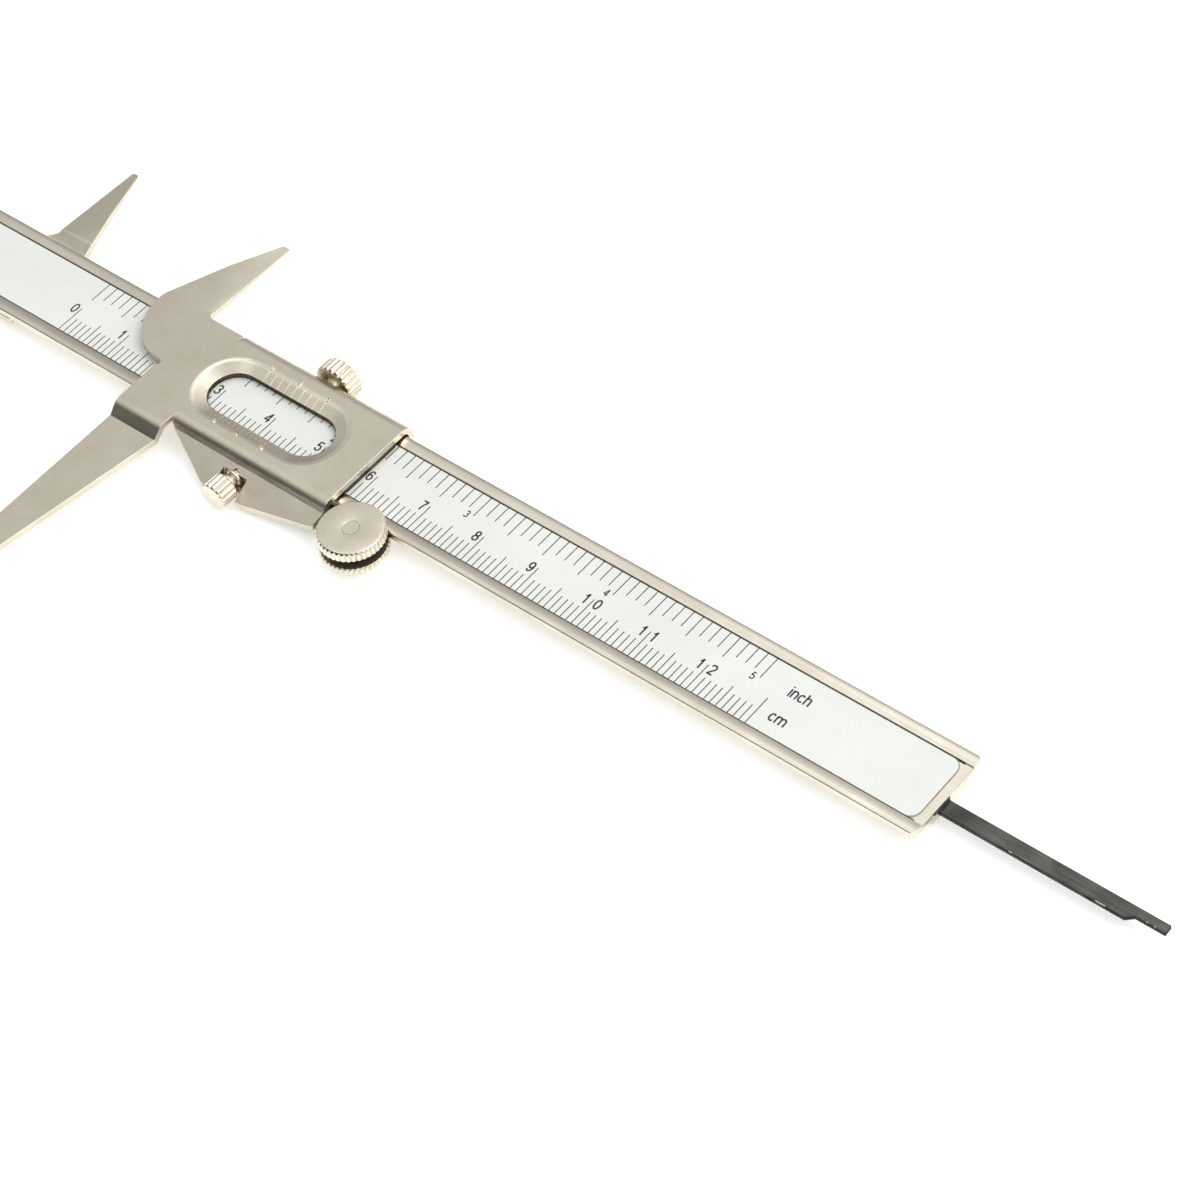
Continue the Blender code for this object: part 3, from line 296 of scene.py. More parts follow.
def show_blocks(name, blocks, material, body):
    """Show a piece made of blocks, each with its points and its four-sided faces, joined in one mesh."""
    starts = np.cumsum([0] + [len(points) for points, _ in blocks])
    faces = np.vstack([faces + start for (_, faces), start in zip(blocks, starts)])
    mesh = bpy.data.meshes.new(name)
    mesh.from_pydata(np.vstack([points for points, _ in blocks]).tolist(), [], faces.tolist())
    shape = bmesh.new()
    shape.from_mesh(mesh)
    bmesh.ops.recalc_face_normals(shape, faces=shape.faces)
    shape.to_mesh(mesh)
    shape.free()
    show(name, mesh, material, body)


# Screen ink: near black, a little uneven where it lies thin, with a soft sheen.
print_ink = lined_finish("screen_printed_ink", "2E2F31", "4A4B4D", (0.5, 0.7), (0.3 * MM, 0.3 * MM, 0.3 * MM),
                         2 * MM, 0.0005 * MM, metallic=0.0)
label_low, label_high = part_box("scale_label")
film_top = label_high.z
ink_top = film_top + INK_HEIGHT
near_steps = np.arange(MILLIMETRES + 1)
near_ends = np.where(near_steps % 5 == 0, HALF_END, MILLIMETRE_END)
near_ends[near_steps % 10 == 0] = CENTIMETRE_END
near_scale = ticks(SCALE_ZERO + near_steps * MM, NEAR_PRINT, near_ends, film_top, ink_top)
far_steps = np.arange(SIXTEENTHS + 1)
far_ends = np.where(far_steps % 4 == 0, QUARTER_END, SIXTEENTH_END)
far_scale = ticks(SCALE_ZERO + far_steps * INCH / 16, FAR_PRINT, far_ends, film_top, ink_top)
show_blocks("printed_ticks", [near_scale, far_scale], print_ink, "beam")

# The numbers and words are drawn as strokes of one width.
ARC_STEP = 18
MITRE_LIMIT = 0.5


def arc(middle, radii, start, end):
    """Points of an elliptic arc, middle + radii * (cos, sin), between two angles in degrees."""
    angles = np.radians(np.linspace(start, end, int(abs(end - start) / ARC_STEP) + 2))
    return np.array(middle) + np.array(radii) * np.stack([np.cos(angles), np.sin(angles)], axis=1)


def ribbon(path, width, low, high, closed=False):
    """Vertices and faces of a flat ribbon along a path (n x 2), mitred at its corners and shut at its ends.

    Each point is set off to both sides by half the width * m / (m . s), with s the normal of the side after
    it and m the mean normal of its two sides. A limit on m . s keeps sharp corners short.
    """
    path = np.array(path, float)
    count = len(path)
    after = np.roll(path, -1, axis=0) - path
    if not closed:
        after[-1] = after[-2]
    after /= np.linalg.norm(after, axis=1)[:, None]
    before = np.roll(after, 1, axis=0)
    if not closed:
        before[0] = after[0]
    side = np.stack([-after[:, 1], after[:, 0]], axis=1)
    mean = side + np.stack([-before[:, 1], before[:, 0]], axis=1)
    mean /= np.linalg.norm(mean, axis=1)[:, None]
    out = mean * (width / 2 / np.maximum((mean * side).sum(axis=1), MITRE_LIMIT))[:, None]
    corners = np.empty((count, 4, 3))
    corners[:, (0, 3), :2] = (path + out)[:, None]
    corners[:, (1, 2), :2] = (path - out)[:, None]
    corners[:, :2, 2] = low
    corners[:, 2:, 2] = high
    here = np.arange(count if closed else count - 1)[:, None] * 4
    there = (here + 4) % (count * 4)
    turn = np.arange(4)
    faces = np.stack([here + turn, here + (turn + 1) % 4, there + (turn + 1) % 4, there + turn], axis=-1)
    faces = faces.reshape(-1, 4)
    if not closed:
        faces = np.vstack([faces, [(0, 3, 2, 1)], count * 4 - 4 + turn[None]])
    return corners.reshape(-1, 3), faces


# Strokes of plain sans digits and letters, one unit high.
STEM = [(0.08, 0.0), (0.08, 0.72)]
ARCH = np.vstack([arc((0.27, 0.50), (0.19, 0.19), 180, 0), [(0.46, 0.0)]])
SIX = [arc((0.28, 0.32), (0.20, 0.27), 180, 540), arc((0.30, 0.50), (0.22, 0.445), 38, 196)]
TWO = np.vstack([arc((0.275, 0.70), (0.21, 0.245), 168, -35), [(0.08, 0.06)]])
GLYPHS = {
    "0": [arc((0.275, 0.5), (0.215, 0.445), 90, 450)],
    "1": [[(0.08, 0.70), (0.20, 0.78), (0.28, 0.95)], [(0.29, 1.0), (0.29, 0.0)]],
    "2": [TWO, [(0.04, 0.055), (0.51, 0.055)]],
    "3": [arc((0.265, 0.725), (0.185, 0.22), 162, -90), arc((0.265, 0.28), (0.215, 0.225), 90, -162)],
    "4": [[(0.40, 0.0), (0.40, 1.0)], [(0.41, 0.96), (0.06, 0.29)], [(0.02, 0.28), (0.54, 0.28)]],
    "5": [[(0.48, 0.945), (0.15, 0.945), (0.10, 0.50)], arc((0.27, 0.33), (0.215, 0.275), 142, -162)],
    "6": SIX,
    "7": [[(0.04, 0.945), (0.51, 0.945)], [(0.48, 0.92), (0.35, 0.68), (0.26, 0.38), (0.21, 0.0)]],
    "8": [arc((0.275, 0.735), (0.175, 0.21), 0, 360), arc((0.275, 0.285), (0.215, 0.235), 0, 360)],
    "9": [np.array((0.55, 1.0)) - stroke for stroke in SIX],
    "i": [STEM, [(0.08, 0.88), (0.08, 1.0)]],
    "n": [STEM, ARCH],
    "c": [arc((0.27, 0.36), (0.205, 0.32), 40, 320)],
    "h": [[(0.08, 0.0), (0.08, 1.0)], ARCH],
    "m": [STEM, ARCH, ARCH + np.array((0.38, 0.0))],
}
LETTER_GAP, STROKE = 0.14, 0.15


def written(words, spot, height, low, high):
    """Blocks of a word's strokes: spot is the foot of its first letter's left side (x, y)."""
    blocks = []
    left = 0.0
    for sign in words:
        strokes = [np.array(stroke) for stroke in GLYPHS[sign]]
        for stroke in strokes:
            blocks.append(ribbon(np.array(spot) + (stroke + (left, 0)) * height, STROKE * height, low, high))
        left += max(stroke[:, 0].max() for stroke in strokes) + LETTER_GAP
    return blocks


# A number stands left of its tick, and the second digit of a longer one stands right of it.
BIG_DIGIT, SMALL_DIGIT = 1.83 * MM, 1.28 * MM
DIGIT_STEP, DIGIT_MIDDLE = 0.98 * MM, 0.275
CENTIMETRE_FOOT, INCH_FOOT = -1.83 * MM, 0.78 * MM
UNIT_WORDS = {"inch": (146.83 * MM, 1.28 * MM), "cm": (147.03 * MM, -3.33 * MM)}
signs = []
for number in range(13):
    tick = SCALE_ZERO + number * 10 * MM
    for side, digit in zip((-1, 1), str(number)):
        foot = (tick + side * DIGIT_STEP - DIGIT_MIDDLE * BIG_DIGIT, CENTIMETRE_FOOT)
        signs += written(digit, foot, BIG_DIGIT, film_top, ink_top)
for number in range(1, 6):
    foot = (SCALE_ZERO + number * INCH - DIGIT_STEP - DIGIT_MIDDLE * SMALL_DIGIT, INCH_FOOT)
    signs += written(str(number), foot, SMALL_DIGIT, film_top, ink_top)
for unit, foot in UNIT_WORDS.items():
    signs += written(unit, foot, BIG_DIGIT, film_top, ink_top)
show_blocks("printed_numbers", signs, print_ink, "beam")

# Label's edge: a dark line all round the label, painted shade for the film's cut edge and the shadowed gap
# beside it.
# Along the rails this painted shade fills the corner of the recess up to just under the rails' shoulders.
EDGE_LINE = 0.10 * MM
FAR_SHADE_LINE, NEAR_SHADE_LINE = 0.06 * MM, 0.17 * MM
SHADE_LINE_TOP = 2.25 * MM
LABEL_CORNER = 1.7 * MM
# Painted shade: a dark brown that takes the light unevenly, for the shade in the recess's corners and at the
# slot's mouth.
painted_shade = lined_finish("painted_shade_brown", "3B342C", "5A5147", (0.6, 0.85), (0.8 * MM, 0.1 * MM, 0.1 * MM), 3 * MM,
                     0.002 * MM, metallic=0.0)
inset = LABEL_CORNER + EDGE_LINE / 2
left_end, right_end = label_low.x + inset, label_high.x - inset
near_side, far_side = label_low.y + inset, label_high.y - inset
label_corners = (((right_end, far_side), 0), ((left_end, far_side), 90),
                 ((left_end, near_side), 180), ((right_end, near_side), 270))
outline = np.vstack([arc(middle, (LABEL_CORNER, LABEL_CORNER), start, start + 90)
                     for middle, start in label_corners])
edge_blocks = [ribbon(outline, EDGE_LINE, film_top, ink_top, closed=True)]
for side, width in ((-1, NEAR_SHADE_LINE), (1, FAR_SHADE_LINE)):
    across = side * (RAIL_FOOT - width / 2)
    edge_blocks.append(ribbon([(label_low.x, across), (label_high.x, across)], width, label_low.z, SHADE_LINE_TOP))
show_blocks("label_edge_painted_shade", edge_blocks, painted_shade, "beam")

# Slot's mouth: painted shade, a dark sheet on the beam's end above the slot for the shadowed opening round
# the depth rod.
# It lies a fiftieth of a millimetre thick on the plating, and reaches further on the near side.
BEAM_END, MOUTH_SHADE_THICKNESS = 174.10 * MM, 0.02 * MM
MOUTH_SHADE_NEAR, MOUTH_SHADE_FAR = -3.0 * MM, 0.4 * MM
MOUTH_SHADE_LOW, MOUTH_SHADE_HIGH = 1.19 * MM, 1.93 * MM
mouth_shade_start = np.array([(BEAM_END, MOUTH_SHADE_NEAR, MOUTH_SHADE_LOW)])
mouth_shade_end = np.array([(BEAM_END + MOUTH_SHADE_THICKNESS, MOUTH_SHADE_FAR, MOUTH_SHADE_HIGH)])
show_blocks("slot_mouth_painted_shade", [boxes(mouth_shade_start, mouth_shade_end)], painted_shade, "beam")

# Fixed jaw plate: the sheet under the strip's left end that carries the two fixed jaws.
# It is pressed, ground to knife edges and satin plated; four rivets hold it, flush under the label.
JAW_ROUNDING = 0.07 * MM
# Satin nickel on pressed sheet: a dull warm grey with a grain from tumbling, drawn coarse enough to show.
satin_nickel = lined_finish("satin_nickel_plate", "E0D8C7", "CCC3B0", (0.30, 0.40),
                            (0.5 * MM, 0.12 * MM, 0.12 * MM), 5 * MM, 0.0008 * MM)
# Plating rubbed smooth by handling: brighter and glossier than the faces beside it.
rubbed_nickel = lined_finish("rubbed_nickel_edge", "F0E9DA", "E0D7C4", (0.18, 0.28),
                             (0.8 * MM, 0.1 * MM, 0.1 * MM), 3 * MM, 0.0004 * MM)
dressed("fixed_jaw_plate", "fixed_jaws_plated", satin_nickel, "beam", JAW_ROUNDING,
        edge_wear_and_shade=rubbed_nickel)
# Filed rivet steel: plain grey with scratches from the file.
filed_steel = lined_finish("filed_rivet_steel", "CFCABF", "A9A397", (0.28, 0.42),
                           (1.5 * MM, 0.05 * MM, 0.05 * MM), 1.5 * MM, 0.001 * MM)
coat([f"head_rivet_{index}" for index in range(1, 5)], filed_steel)

# Slider plate: one pressed sheet bent round the beam, with a dished window, a joggled jaw and a sloping flap.
# Its plating is the same satin nickel, rubbed bright along the sheet's edges.
SHEET_ROUNDING, BEND_ROUNDING = 0.06 * MM, 0.45 * MM
dressed("slider_plate", "slider_sheet", satin_nickel, "slider", SHEET_ROUNDING, BEND_ROUNDING,
        edge_wear_and_shade=rubbed_nickel)

# Vernier marks: fine ridges and numbers pressed up on the two long slopes of the window's dish.
# The far slope has nine ticks for the inch scale and the near one eleven for the millimetres.
RIDGE_SUNK, FAR_RIDGE, NEAR_RIDGE = -0.07 * MM, 0.07 * MM, 0.11 * MM
DISH_FOOT = 3.09 * MM
DISH_REACH, DISH_RISE = 2.1 * MM, 0.8 * MM
FAR_FOOT, FAR_START, FAR_END = 3.2 * MM, 3.22 * MM, 5.0 * MM
NEAR_FOOT, NEAR_START, NEAR_END = -4.8 * MM, -4.82 * MM, -6.1 * MM
# Each place is the first tick's plus a number of steps, and each number's foot is its left lower corner.
FAR_PLACES = (49.2 + 1.389 * np.arange(9)) * MM
NEAR_PLACES = (49.1 + 0.9 * np.arange(11)) * MM
FAR_NUMBERS = {"0": (48.9 * MM, 5.2 * MM), "4": (54.46 * MM, 5.2 * MM), "8": (60.01 * MM, 5.2 * MM)}
NEAR_NUMBERS = {"0": (48.8 * MM, -7.25 * MM), "5": (53.3 * MM, -7.25 * MM), "10": (57.8 * MM, -7.25 * MM)}
FAR_DIGIT, NEAR_DIGIT = 1.0 * MM, 1.05 * MM


def on_slope(blocks, foot, side):
    """Blocks lifted to a slope of the dish: z + dish foot + rise * (distance beyond its foot / reach)."""
    lifted = []
    for points, faces in blocks:
        share = np.clip(side * (points[:, 1] - foot), 0, DISH_REACH) / DISH_REACH
        lifted.append((points + np.outer(DISH_FOOT + DISH_RISE * share, (0, 0, 1)), faces))
    return lifted


far_marks = [ticks(FAR_PLACES, FAR_START, FAR_END, RIDGE_SUNK, FAR_RIDGE)]
for number, foot in FAR_NUMBERS.items():
    far_marks += written(number, foot, FAR_DIGIT, RIDGE_SUNK, FAR_RIDGE)
near_marks = [ticks(NEAR_PLACES, NEAR_START, NEAR_END, RIDGE_SUNK, NEAR_RIDGE)]
for number, foot in NEAR_NUMBERS.items():
    near_marks += written(number, foot, NEAR_DIGIT, RIDGE_SUNK, NEAR_RIDGE)
vernier_blocks = on_slope(far_marks, FAR_FOOT, 1) + on_slope(near_marks, NEAR_FOOT, -1)
show_blocks("vernier_marks", vernier_blocks, rubbed_nickel, "slider")

# Window's rim: the edge of the dish, drawn down past the sheet to just above the label.
# It stands in the gap inside the guide plate's opening, and its dark rolled steel is painted shade for the
# window's inner wall.
RIM_THICKNESS = 0.24 * MM
RIM_LOW, RIM_HIGH = 2.24 * MM, DISH_FOOT - 0.02 * MM
WINDOW_RADIUS = 4.0 * MM
WINDOW_RIGHT, WINDOW_LEFT = (62.0 * MM, -0.8 * MM), (47.3 * MM, -0.8 * MM)
rim_reach = WINDOW_RADIUS + RIM_THICKNESS / 2
rim_path = np.vstack([arc(middle, (rim_reach, rim_reach), start, start + 180)
                      for middle, start in ((WINDOW_RIGHT, -90), (WINDOW_LEFT, 90))])
# Rolled steel with its mill scale and old oil: dark brown grey with a dull shine. On the window's rim the
# same dark steel is painted shade.
rolled_steel_and_rim_shade = lined_finish("oiled_rolled_steel_and_rim_shade", "6B6355", "40392F", (0.42, 0.6),
                            (3 * MM, 0.06 * MM, 0.06 * MM), 4 * MM, 0.0008 * MM)
rim = ribbon(rim_path, RIM_THICKNESS, RIM_LOW, RIM_HIGH, closed=True)
show_blocks("window_rim", [rim], rolled_steel_and_rim_shade, "slider")

# Guide plate, back plate, gib spring and their rivets: bare rolled steel inside, plated where it shows.
# They are stamped flat and riveted together under the slider.
BACK_ROUNDING = 0.08 * MM
coat(["guide_plate", "gib_spring"], rolled_steel_and_rim_shade)
dressed("back_plate", "back_plate_plated", satin_nickel, "slider", BACK_ROUNDING,
        edge_wear_and_shade=rubbed_nickel)
coat(["lip_rivet_1", "lip_rivet_2", "lip_rivet_3", "rod_rivet_1", "rod_rivet_2"], filed_steel)

# Depth rod: a flat strip of spring steel, slit from sheet and heat darkened.
# It slides in the slot behind the label, and its slit edges and sides are painted nearly black as painted
# shade.
ROD_ROUNDING = 0.07 * MM
STEP_START, STEP_END, STEP_SHIFT = 200.0 * MM, 203.0 * MM, 2.0 * MM
SIDE_RISE = 0.7
# Heat-darkened steel: grey with a trace of green, and long rolling lines that catch the light.
blued_steel = lined_finish("heat_darkened_steel", "6C6D68", "42433D", (0.30, 0.48),
                           (5 * MM, 0.10 * MM, 0.10 * MM), 6 * MM, 0.001 * MM)
# Slit edges and sides of the rod: painted shade in blue black, with thin nicks where the scale has chipped.
rod_edge_shade = lined_finish("painted_shade_slit_edge", "3C3E46", "17181B", (0.35, 0.55),
                           (0.9 * MM, 0.1 * MM, 0.1 * MM), 2 * MM, 0.002 * MM)


def short_blade(points):
    """The rod's step moved towards its tip: x + shift where x lies in the step's span."""
    in_step = (points[:, 0] > STEP_START) & (points[:, 0] < STEP_END)
    return points + in_step[:, None] * np.array((STEP_SHIFT, 0, 0))


rod = dressed("depth_rod", "depth_rod_blued", blued_steel, "slider", ROD_ROUNDING,
              edge_wear_and_shade=rod_edge_shade, reshape=short_blade)
# The strip's slit sides, whose normals rise by less than this share, get the same painted shade as its edges.
for face in rod.data.polygons:
    if abs(face.normal.z) < SIDE_RISE:
        face.material_index = 1

# Chips: spots on the rod's near edge where the dark scale has come off and bare steel shows.
# Knocks have made two on the strip and two on its thin tip, each about an eighth of a millimetre wide.
CHIP_STARTS = np.array([185.0, 198.2, 205.2, 206.4]) * MM
CHIP_ENDS = np.array([185.5, 199.7, 205.5, 206.6]) * MM
CHIP_SIDES = np.array([-2.03, -2.03, -1.06, -1.06]) * MM
CHIP_WIDTH, CHIP_SUNK, CHIP_PROUD = 0.13 * MM, 0.02 * MM, 0.004 * MM
rod_top = np.full(len(CHIP_STARTS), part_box("depth_rod")[1].z)
chips = boxes(np.stack([CHIP_STARTS, CHIP_SIDES, rod_top - CHIP_SUNK], axis=1),
              np.stack([CHIP_ENDS, CHIP_SIDES + CHIP_WIDTH, rod_top + CHIP_PROUD], axis=1))
show_blocks("rod_chips", [chips], filed_steel, "slider")

# Thumb wheel: a turned spool with a straight knurl on both discs, on a headed axle.
# The beam's edge runs in its groove, and the lathe leaves rings on its top.
WHEEL_CENTRE = (79.8 * MM, -11.0 * MM)
WHEEL_RADIUS, WAIST, BORE, SINK = 5.1 * MM, 3.3 * MM, 1.0 * MM, 1.30 * MM
SINK_DEPTH = 0.3 * MM
GROOVE_LOW, GROOVE_HIGH = 1.04 * MM, 2.61 * MM
TOP_CHAMFER, GROOVE_CHAMFER, BOTTOM_CHAMFER = 0.36 * MM, 0.16 * MM, 0.19 * MM
# Roundings of the wheel's corners.
CRISP, FINE, MILD, ROUND, FULL = 0.02 * MM, 0.05 * MM, 0.10 * MM, 0.15 * MM, 0.16 * MM
WHEEL_TEETH, TOOTH_STEPS = 40, 8
TOOTH_DEPTH, TOOTH_BAND = 0.26 * MM, 0.30 * MM
TOOTH_POWER, TOOTH_CREASE = 0.7, radians(40)
GROOVE_RADIUS = WHEEL_RADIUS - 0.4 * MM
POLE_GAP = 0.0001 * MM
CORNER_STEPS = 5
TURNED_CLOUD = 2 * MM


def rounded_profile(corners):
    """Profile through corners (radius, height, rounding), each cut by a parabola over its rounding.

    The parabola is p * (1 - t) ^ 2 + 2 * corner * t * (1 - t) + q * t ^ 2, with p and q the points that lie
    the rounding away from the corner on the sides before and after it.
    """
    corners = np.array(corners, float)
    place, reach = corners[:, :2], corners[:, 2]
    before = np.roll(place, 1, axis=0) - place
    after = np.roll(place, -1, axis=0) - place
    before /= np.linalg.norm(before, axis=1)[:, None]
    after /= np.linalg.norm(after, axis=1)[:, None]
    along = np.linspace(0, 1, CORNER_STEPS)[None, :, None]
    first = (place + before * reach[:, None])[:, None]
    last = (place + after * reach[:, None])[:, None]
    curve = first * (1 - along) ** 2 + 2 * place[:, None] * along * (1 - along) + last * along ** 2
    return curve.reshape(-1, 2)


def grid_mesh(name, points, close_second):
    """Mesh of a grid of points (m x n x 3) that closes round its first parameter, with poles merged.

    It also closes round its second parameter if that is asked for.
    """
    rows, columns = points.shape[:2]
    row = np.arange(rows)[:, None]
    column = np.arange(columns if close_second else columns - 1)[None, :]
    next_row, next_column = (row + 1) % rows, (column + 1) % columns
    corners = [row * columns + column, next_row * columns + column,
               next_row * columns + next_column, row * columns + next_column]
    faces = np.stack(np.broadcast_arrays(*corners), axis=-1).reshape(-1, 4)
    mesh = bpy.data.meshes.new(name)
    mesh.from_pydata(points.reshape(-1, 3).tolist(), [], faces.tolist())
    shape = bmesh.new()
    shape.from_mesh(mesh)
    bmesh.ops.remove_doubles(shape, verts=shape.verts, dist=POLE_GAP)
    bmesh.ops.recalc_face_normals(shape, faces=shape.faces)
    shape.to_mesh(mesh)
    shape.free()
    mesh.shade_smooth()
    mesh.set_sharp_from_angle(angle=TOOTH_CREASE)
    return mesh


def teeth(angles, count):
    """Straight knurl, 1 - |cos(count * angle / 2)| ^ power: 0 on the crests and 1 in the grooves."""
    return 1 - np.abs(np.cos(count * angles / 2)) ** TOOTH_POWER


wheel_low, wheel_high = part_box("thumb_wheel")
wheel_profile = rounded_profile([
    (SINK, wheel_high.z, CRISP),
    (WHEEL_RADIUS - TOP_CHAMFER, wheel_high.z, MILD),
    (WHEEL_RADIUS, wheel_high.z - TOP_CHAMFER, FULL),
    (WHEEL_RADIUS, GROOVE_HIGH + GROOVE_CHAMFER, MILD),
    (WHEEL_RADIUS - GROOVE_CHAMFER, GROOVE_HIGH, FINE),
    (WAIST, GROOVE_HIGH, ROUND),
    (WAIST, GROOVE_LOW, ROUND),
    (WHEEL_RADIUS - GROOVE_CHAMFER, GROOVE_LOW, FINE),
    (WHEEL_RADIUS, GROOVE_LOW - GROOVE_CHAMFER, MILD),
    (WHEEL_RADIUS, wheel_low.z + BOTTOM_CHAMFER, MILD),
    (WHEEL_RADIUS - BOTTOM_CHAMFER, wheel_low.z, FINE),
    (BORE, wheel_low.z, CRISP),
    (BORE, wheel_high.z - SINK_DEPTH, CRISP),
])
wheel_angles = np.arange(WHEEL_TEETH * TOOTH_STEPS) * 2 * pi / (WHEEL_TEETH * TOOTH_STEPS)
knurled = np.clip((wheel_profile[:, 0] - (WHEEL_RADIUS - TOOTH_BAND)) / TOOTH_BAND, 0, 1)
wheel_reach = wheel_profile[:, 0] - TOOTH_DEPTH * np.outer(teeth(wheel_angles, WHEEL_TEETH), knurled)
wheel_points = np.stack([WHEEL_CENTRE[0] + wheel_reach * np.cos(wheel_angles)[:, None],
                         WHEEL_CENTRE[1] + wheel_reach * np.sin(wheel_angles)[:, None],
                         np.broadcast_to(wheel_profile[:, 1], wheel_reach.shape)], axis=-1)


def turned_finish(name, bright, dull, roughness, centre, turn, ring, relief):
    """Turned metal: rings are noise of the distance from an axis through centre, turned to lie along Z."""
    material, tree, spot = new_material(name)
    axis = add_node(tree, "ShaderNodeMapping", {"Vector": spot, "Location": centre, "Rotation": turn},
                    vector_type="TEXTURE")
    flat = add_node(tree, "ShaderNodeVectorMath", {0: axis.outputs[0], 1: (1, 1, 0)}, operation="MULTIPLY")
    reach = add_node(tree, "ShaderNodeVectorMath", {0: flat.outputs[0]}, operation="LENGTH")
    scaled = add_node(tree, "ShaderNodeMath", {0: reach.outputs["Value"], 1: 1 / ring}, operation="MULTIPLY")
    rings = add_node(tree, "ShaderNodeTexNoise", {"W": scaled.outputs[0], "Scale": 1.0, "Detail": 3.0},
                     noise_dimensions="1D")
    clouds = add_node(tree, "ShaderNodeTexNoise", {"Vector": spot, "Scale": 1 / TURNED_CLOUD, "Detail": 3.0})
    work_surface(material, rings, clouds, bright, dull, roughness, relief)
    return material


# Turned and plated nickel: a clean warm shine broken by rings from the lathe, drawn wide enough to show.
wheel_nickel = turned_finish("turned_wheel_nickel", "EFE7D6", "D9CFBB", (0.24, 0.36), (*WHEEL_CENTRE, 0.0),
                             (0, 0, 0), 0.22 * MM, 0.004 * MM)
# Plating in the groove, painted a dull brown grey as painted shade between the two discs.
groove_shade_nickel = lined_finish("groove_painted_shade_nickel", "A2978A", "6F6659", (0.4, 0.55),
                             (0.8 * MM, 0.8 * MM, 0.1 * MM), 2 * MM, 0.001 * MM)
wheel_mesh = grid_mesh("thumb_wheel_knurled", wheel_points, True)
wheel_mesh.materials.append(wheel_nickel)
wheel_mesh.materials.append(groove_shade_nickel)
# Faces between the discs, inside the knurl, take the groove's painted shade.
for face in wheel_mesh.polygons:
    face_reach = (face.center.xy - Vector(WHEEL_CENTRE)).length
    between_discs = GROOVE_LOW - SLACK < face.center.z < GROOVE_HIGH + SLACK
    if between_discs and BORE < face_reach < GROOVE_RADIUS:
        face.material_index = 1
show("thumb_wheel_knurled", wheel_mesh, wheel_nickel, "thumb_wheel", ("thumb_wheel",))
coat(["wheel_axle"], wheel_nickel)

# Lock screws: two knurled-head screws across the beam that press on the gib spring and on the near edge.
# They are turned from bar, threaded and nickel plated. The lower one has two collars under its head.
THREAD_PITCH, THREAD_STEPS, THREAD_SHARE = 0.5 * MM, 8, 0.18
TIP_LENGTH, TIP_CHAMFER = 0.2 * MM, 0.3 * MM
HEAD_CHAMFER, HEAD_ROUNDING = 0.22 * MM, 0.06 * MM
FLUTE_DEPTH, FLUTE_STEPS = 0.3 * MM, 10
SAME_HEIGHT = 1e-6 * MM


def screw_points(middle, heights, radii, flutes, collars, side):
    """Screw along Y at a middle (x, z), from its head's end to its tip: a fluted head, collars and a thread.

    The thread's radius falls by its depth as a triangle wave of (distance / pitch - angle / turn), and each
    collar (distance, half length, height) stands on the shank as height * sqrt(1 - (away / half length) ^ 2).
    """
    tip, face, end = heights
    shank, head = radii
    head_profile = rounded_profile([(0, end, 0), (head - HEAD_CHAMFER, end, HEAD_ROUNDING),
                                    (head, end - HEAD_CHAMFER, HEAD_ROUNDING),
                                    (head, face + HEAD_CHAMFER, HEAD_ROUNDING),
                                    (head - HEAD_CHAMFER, face, HEAD_ROUNDING), (shank, face, 0.0)])
    # The middle of the head's end is one point on the axis.
    head_profile[:CORNER_STEPS] = (0, end)
    count = int((face - tip) / THREAD_PITCH * THREAD_STEPS)
    run = np.linspace(face, tip + TIP_LENGTH, count)
    raised = np.zeros(count)
    for distance, half_length, height in collars:
        away = (run - distance) / half_length
        raised = np.maximum(raised, height * np.sqrt(np.clip(1 - away ** 2, 0, 1)))
    shank_profile = np.stack([shank + raised, run], axis=1)
    profile = np.vstack([head_profile, shank_profile, [(shank - TIP_CHAMFER, tip), (0, tip)]])
    reach, along = profile.T
    angles = np.arange(flutes * FLUTE_STEPS) * 2 * pi / (flutes * FLUTE_STEPS)
    fluted = np.clip((reach - (head - FLUTE_DEPTH)) / FLUTE_DEPTH, 0, 1) * (along > face - SAME_HEIGHT)
    # The thread leaves out the collars, two steps under the head and the two points of the tip.
    threaded = np.zeros(len(profile))
    threaded[len(head_profile) + 2:-2] = (raised == 0)[2:]
    phase = (along / THREAD_PITCH - side * angles[:, None] / (2 * pi)) % 1
    thread = np.abs(2 * phase - 1) * threaded
    radius = reach - FLUTE_DEPTH * np.outer(teeth(angles, flutes), fluted) - THREAD_SHARE * shank * thread
    return np.stack([middle[0] + radius * np.cos(angles)[:, None],
                     side * np.broadcast_to(along, radius.shape),
                     middle[1] + radius * np.sin(angles)[:, None]], axis=-1)


UPPER_MIDDLE, LOWER_MIDDLE = (57.4 * MM, 1.6 * MM), (57.2 * MM, 1.3 * MM)
UPPER_FACE, LOWER_FACE = 9.30 * MM, 13.42 * MM
UPPER_RADII, LOWER_RADII = (1.4 * MM, 3.4 * MM), (0.8 * MM, 2.3 * MM)
UPPER_FLUTES, LOWER_FLUTES = 20, 14
COLLARS = [(distance, 0.38 * MM, 0.55 * MM) for distance in (12.95 * MM, 11.85 * MM)]
upper_low, upper_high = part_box("upper_lock_screw")
lower_low, lower_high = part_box("lower_lock_screw")
upper_screw = screw_points(UPPER_MIDDLE, (upper_low.y, UPPER_FACE, upper_high.y), UPPER_RADII, UPPER_FLUTES,
                           [], 1)
lower_screw = screw_points(LOWER_MIDDLE, (-lower_high.y, LOWER_FACE, -lower_low.y), LOWER_RADII, LOWER_FLUTES,
                           COLLARS, -1)
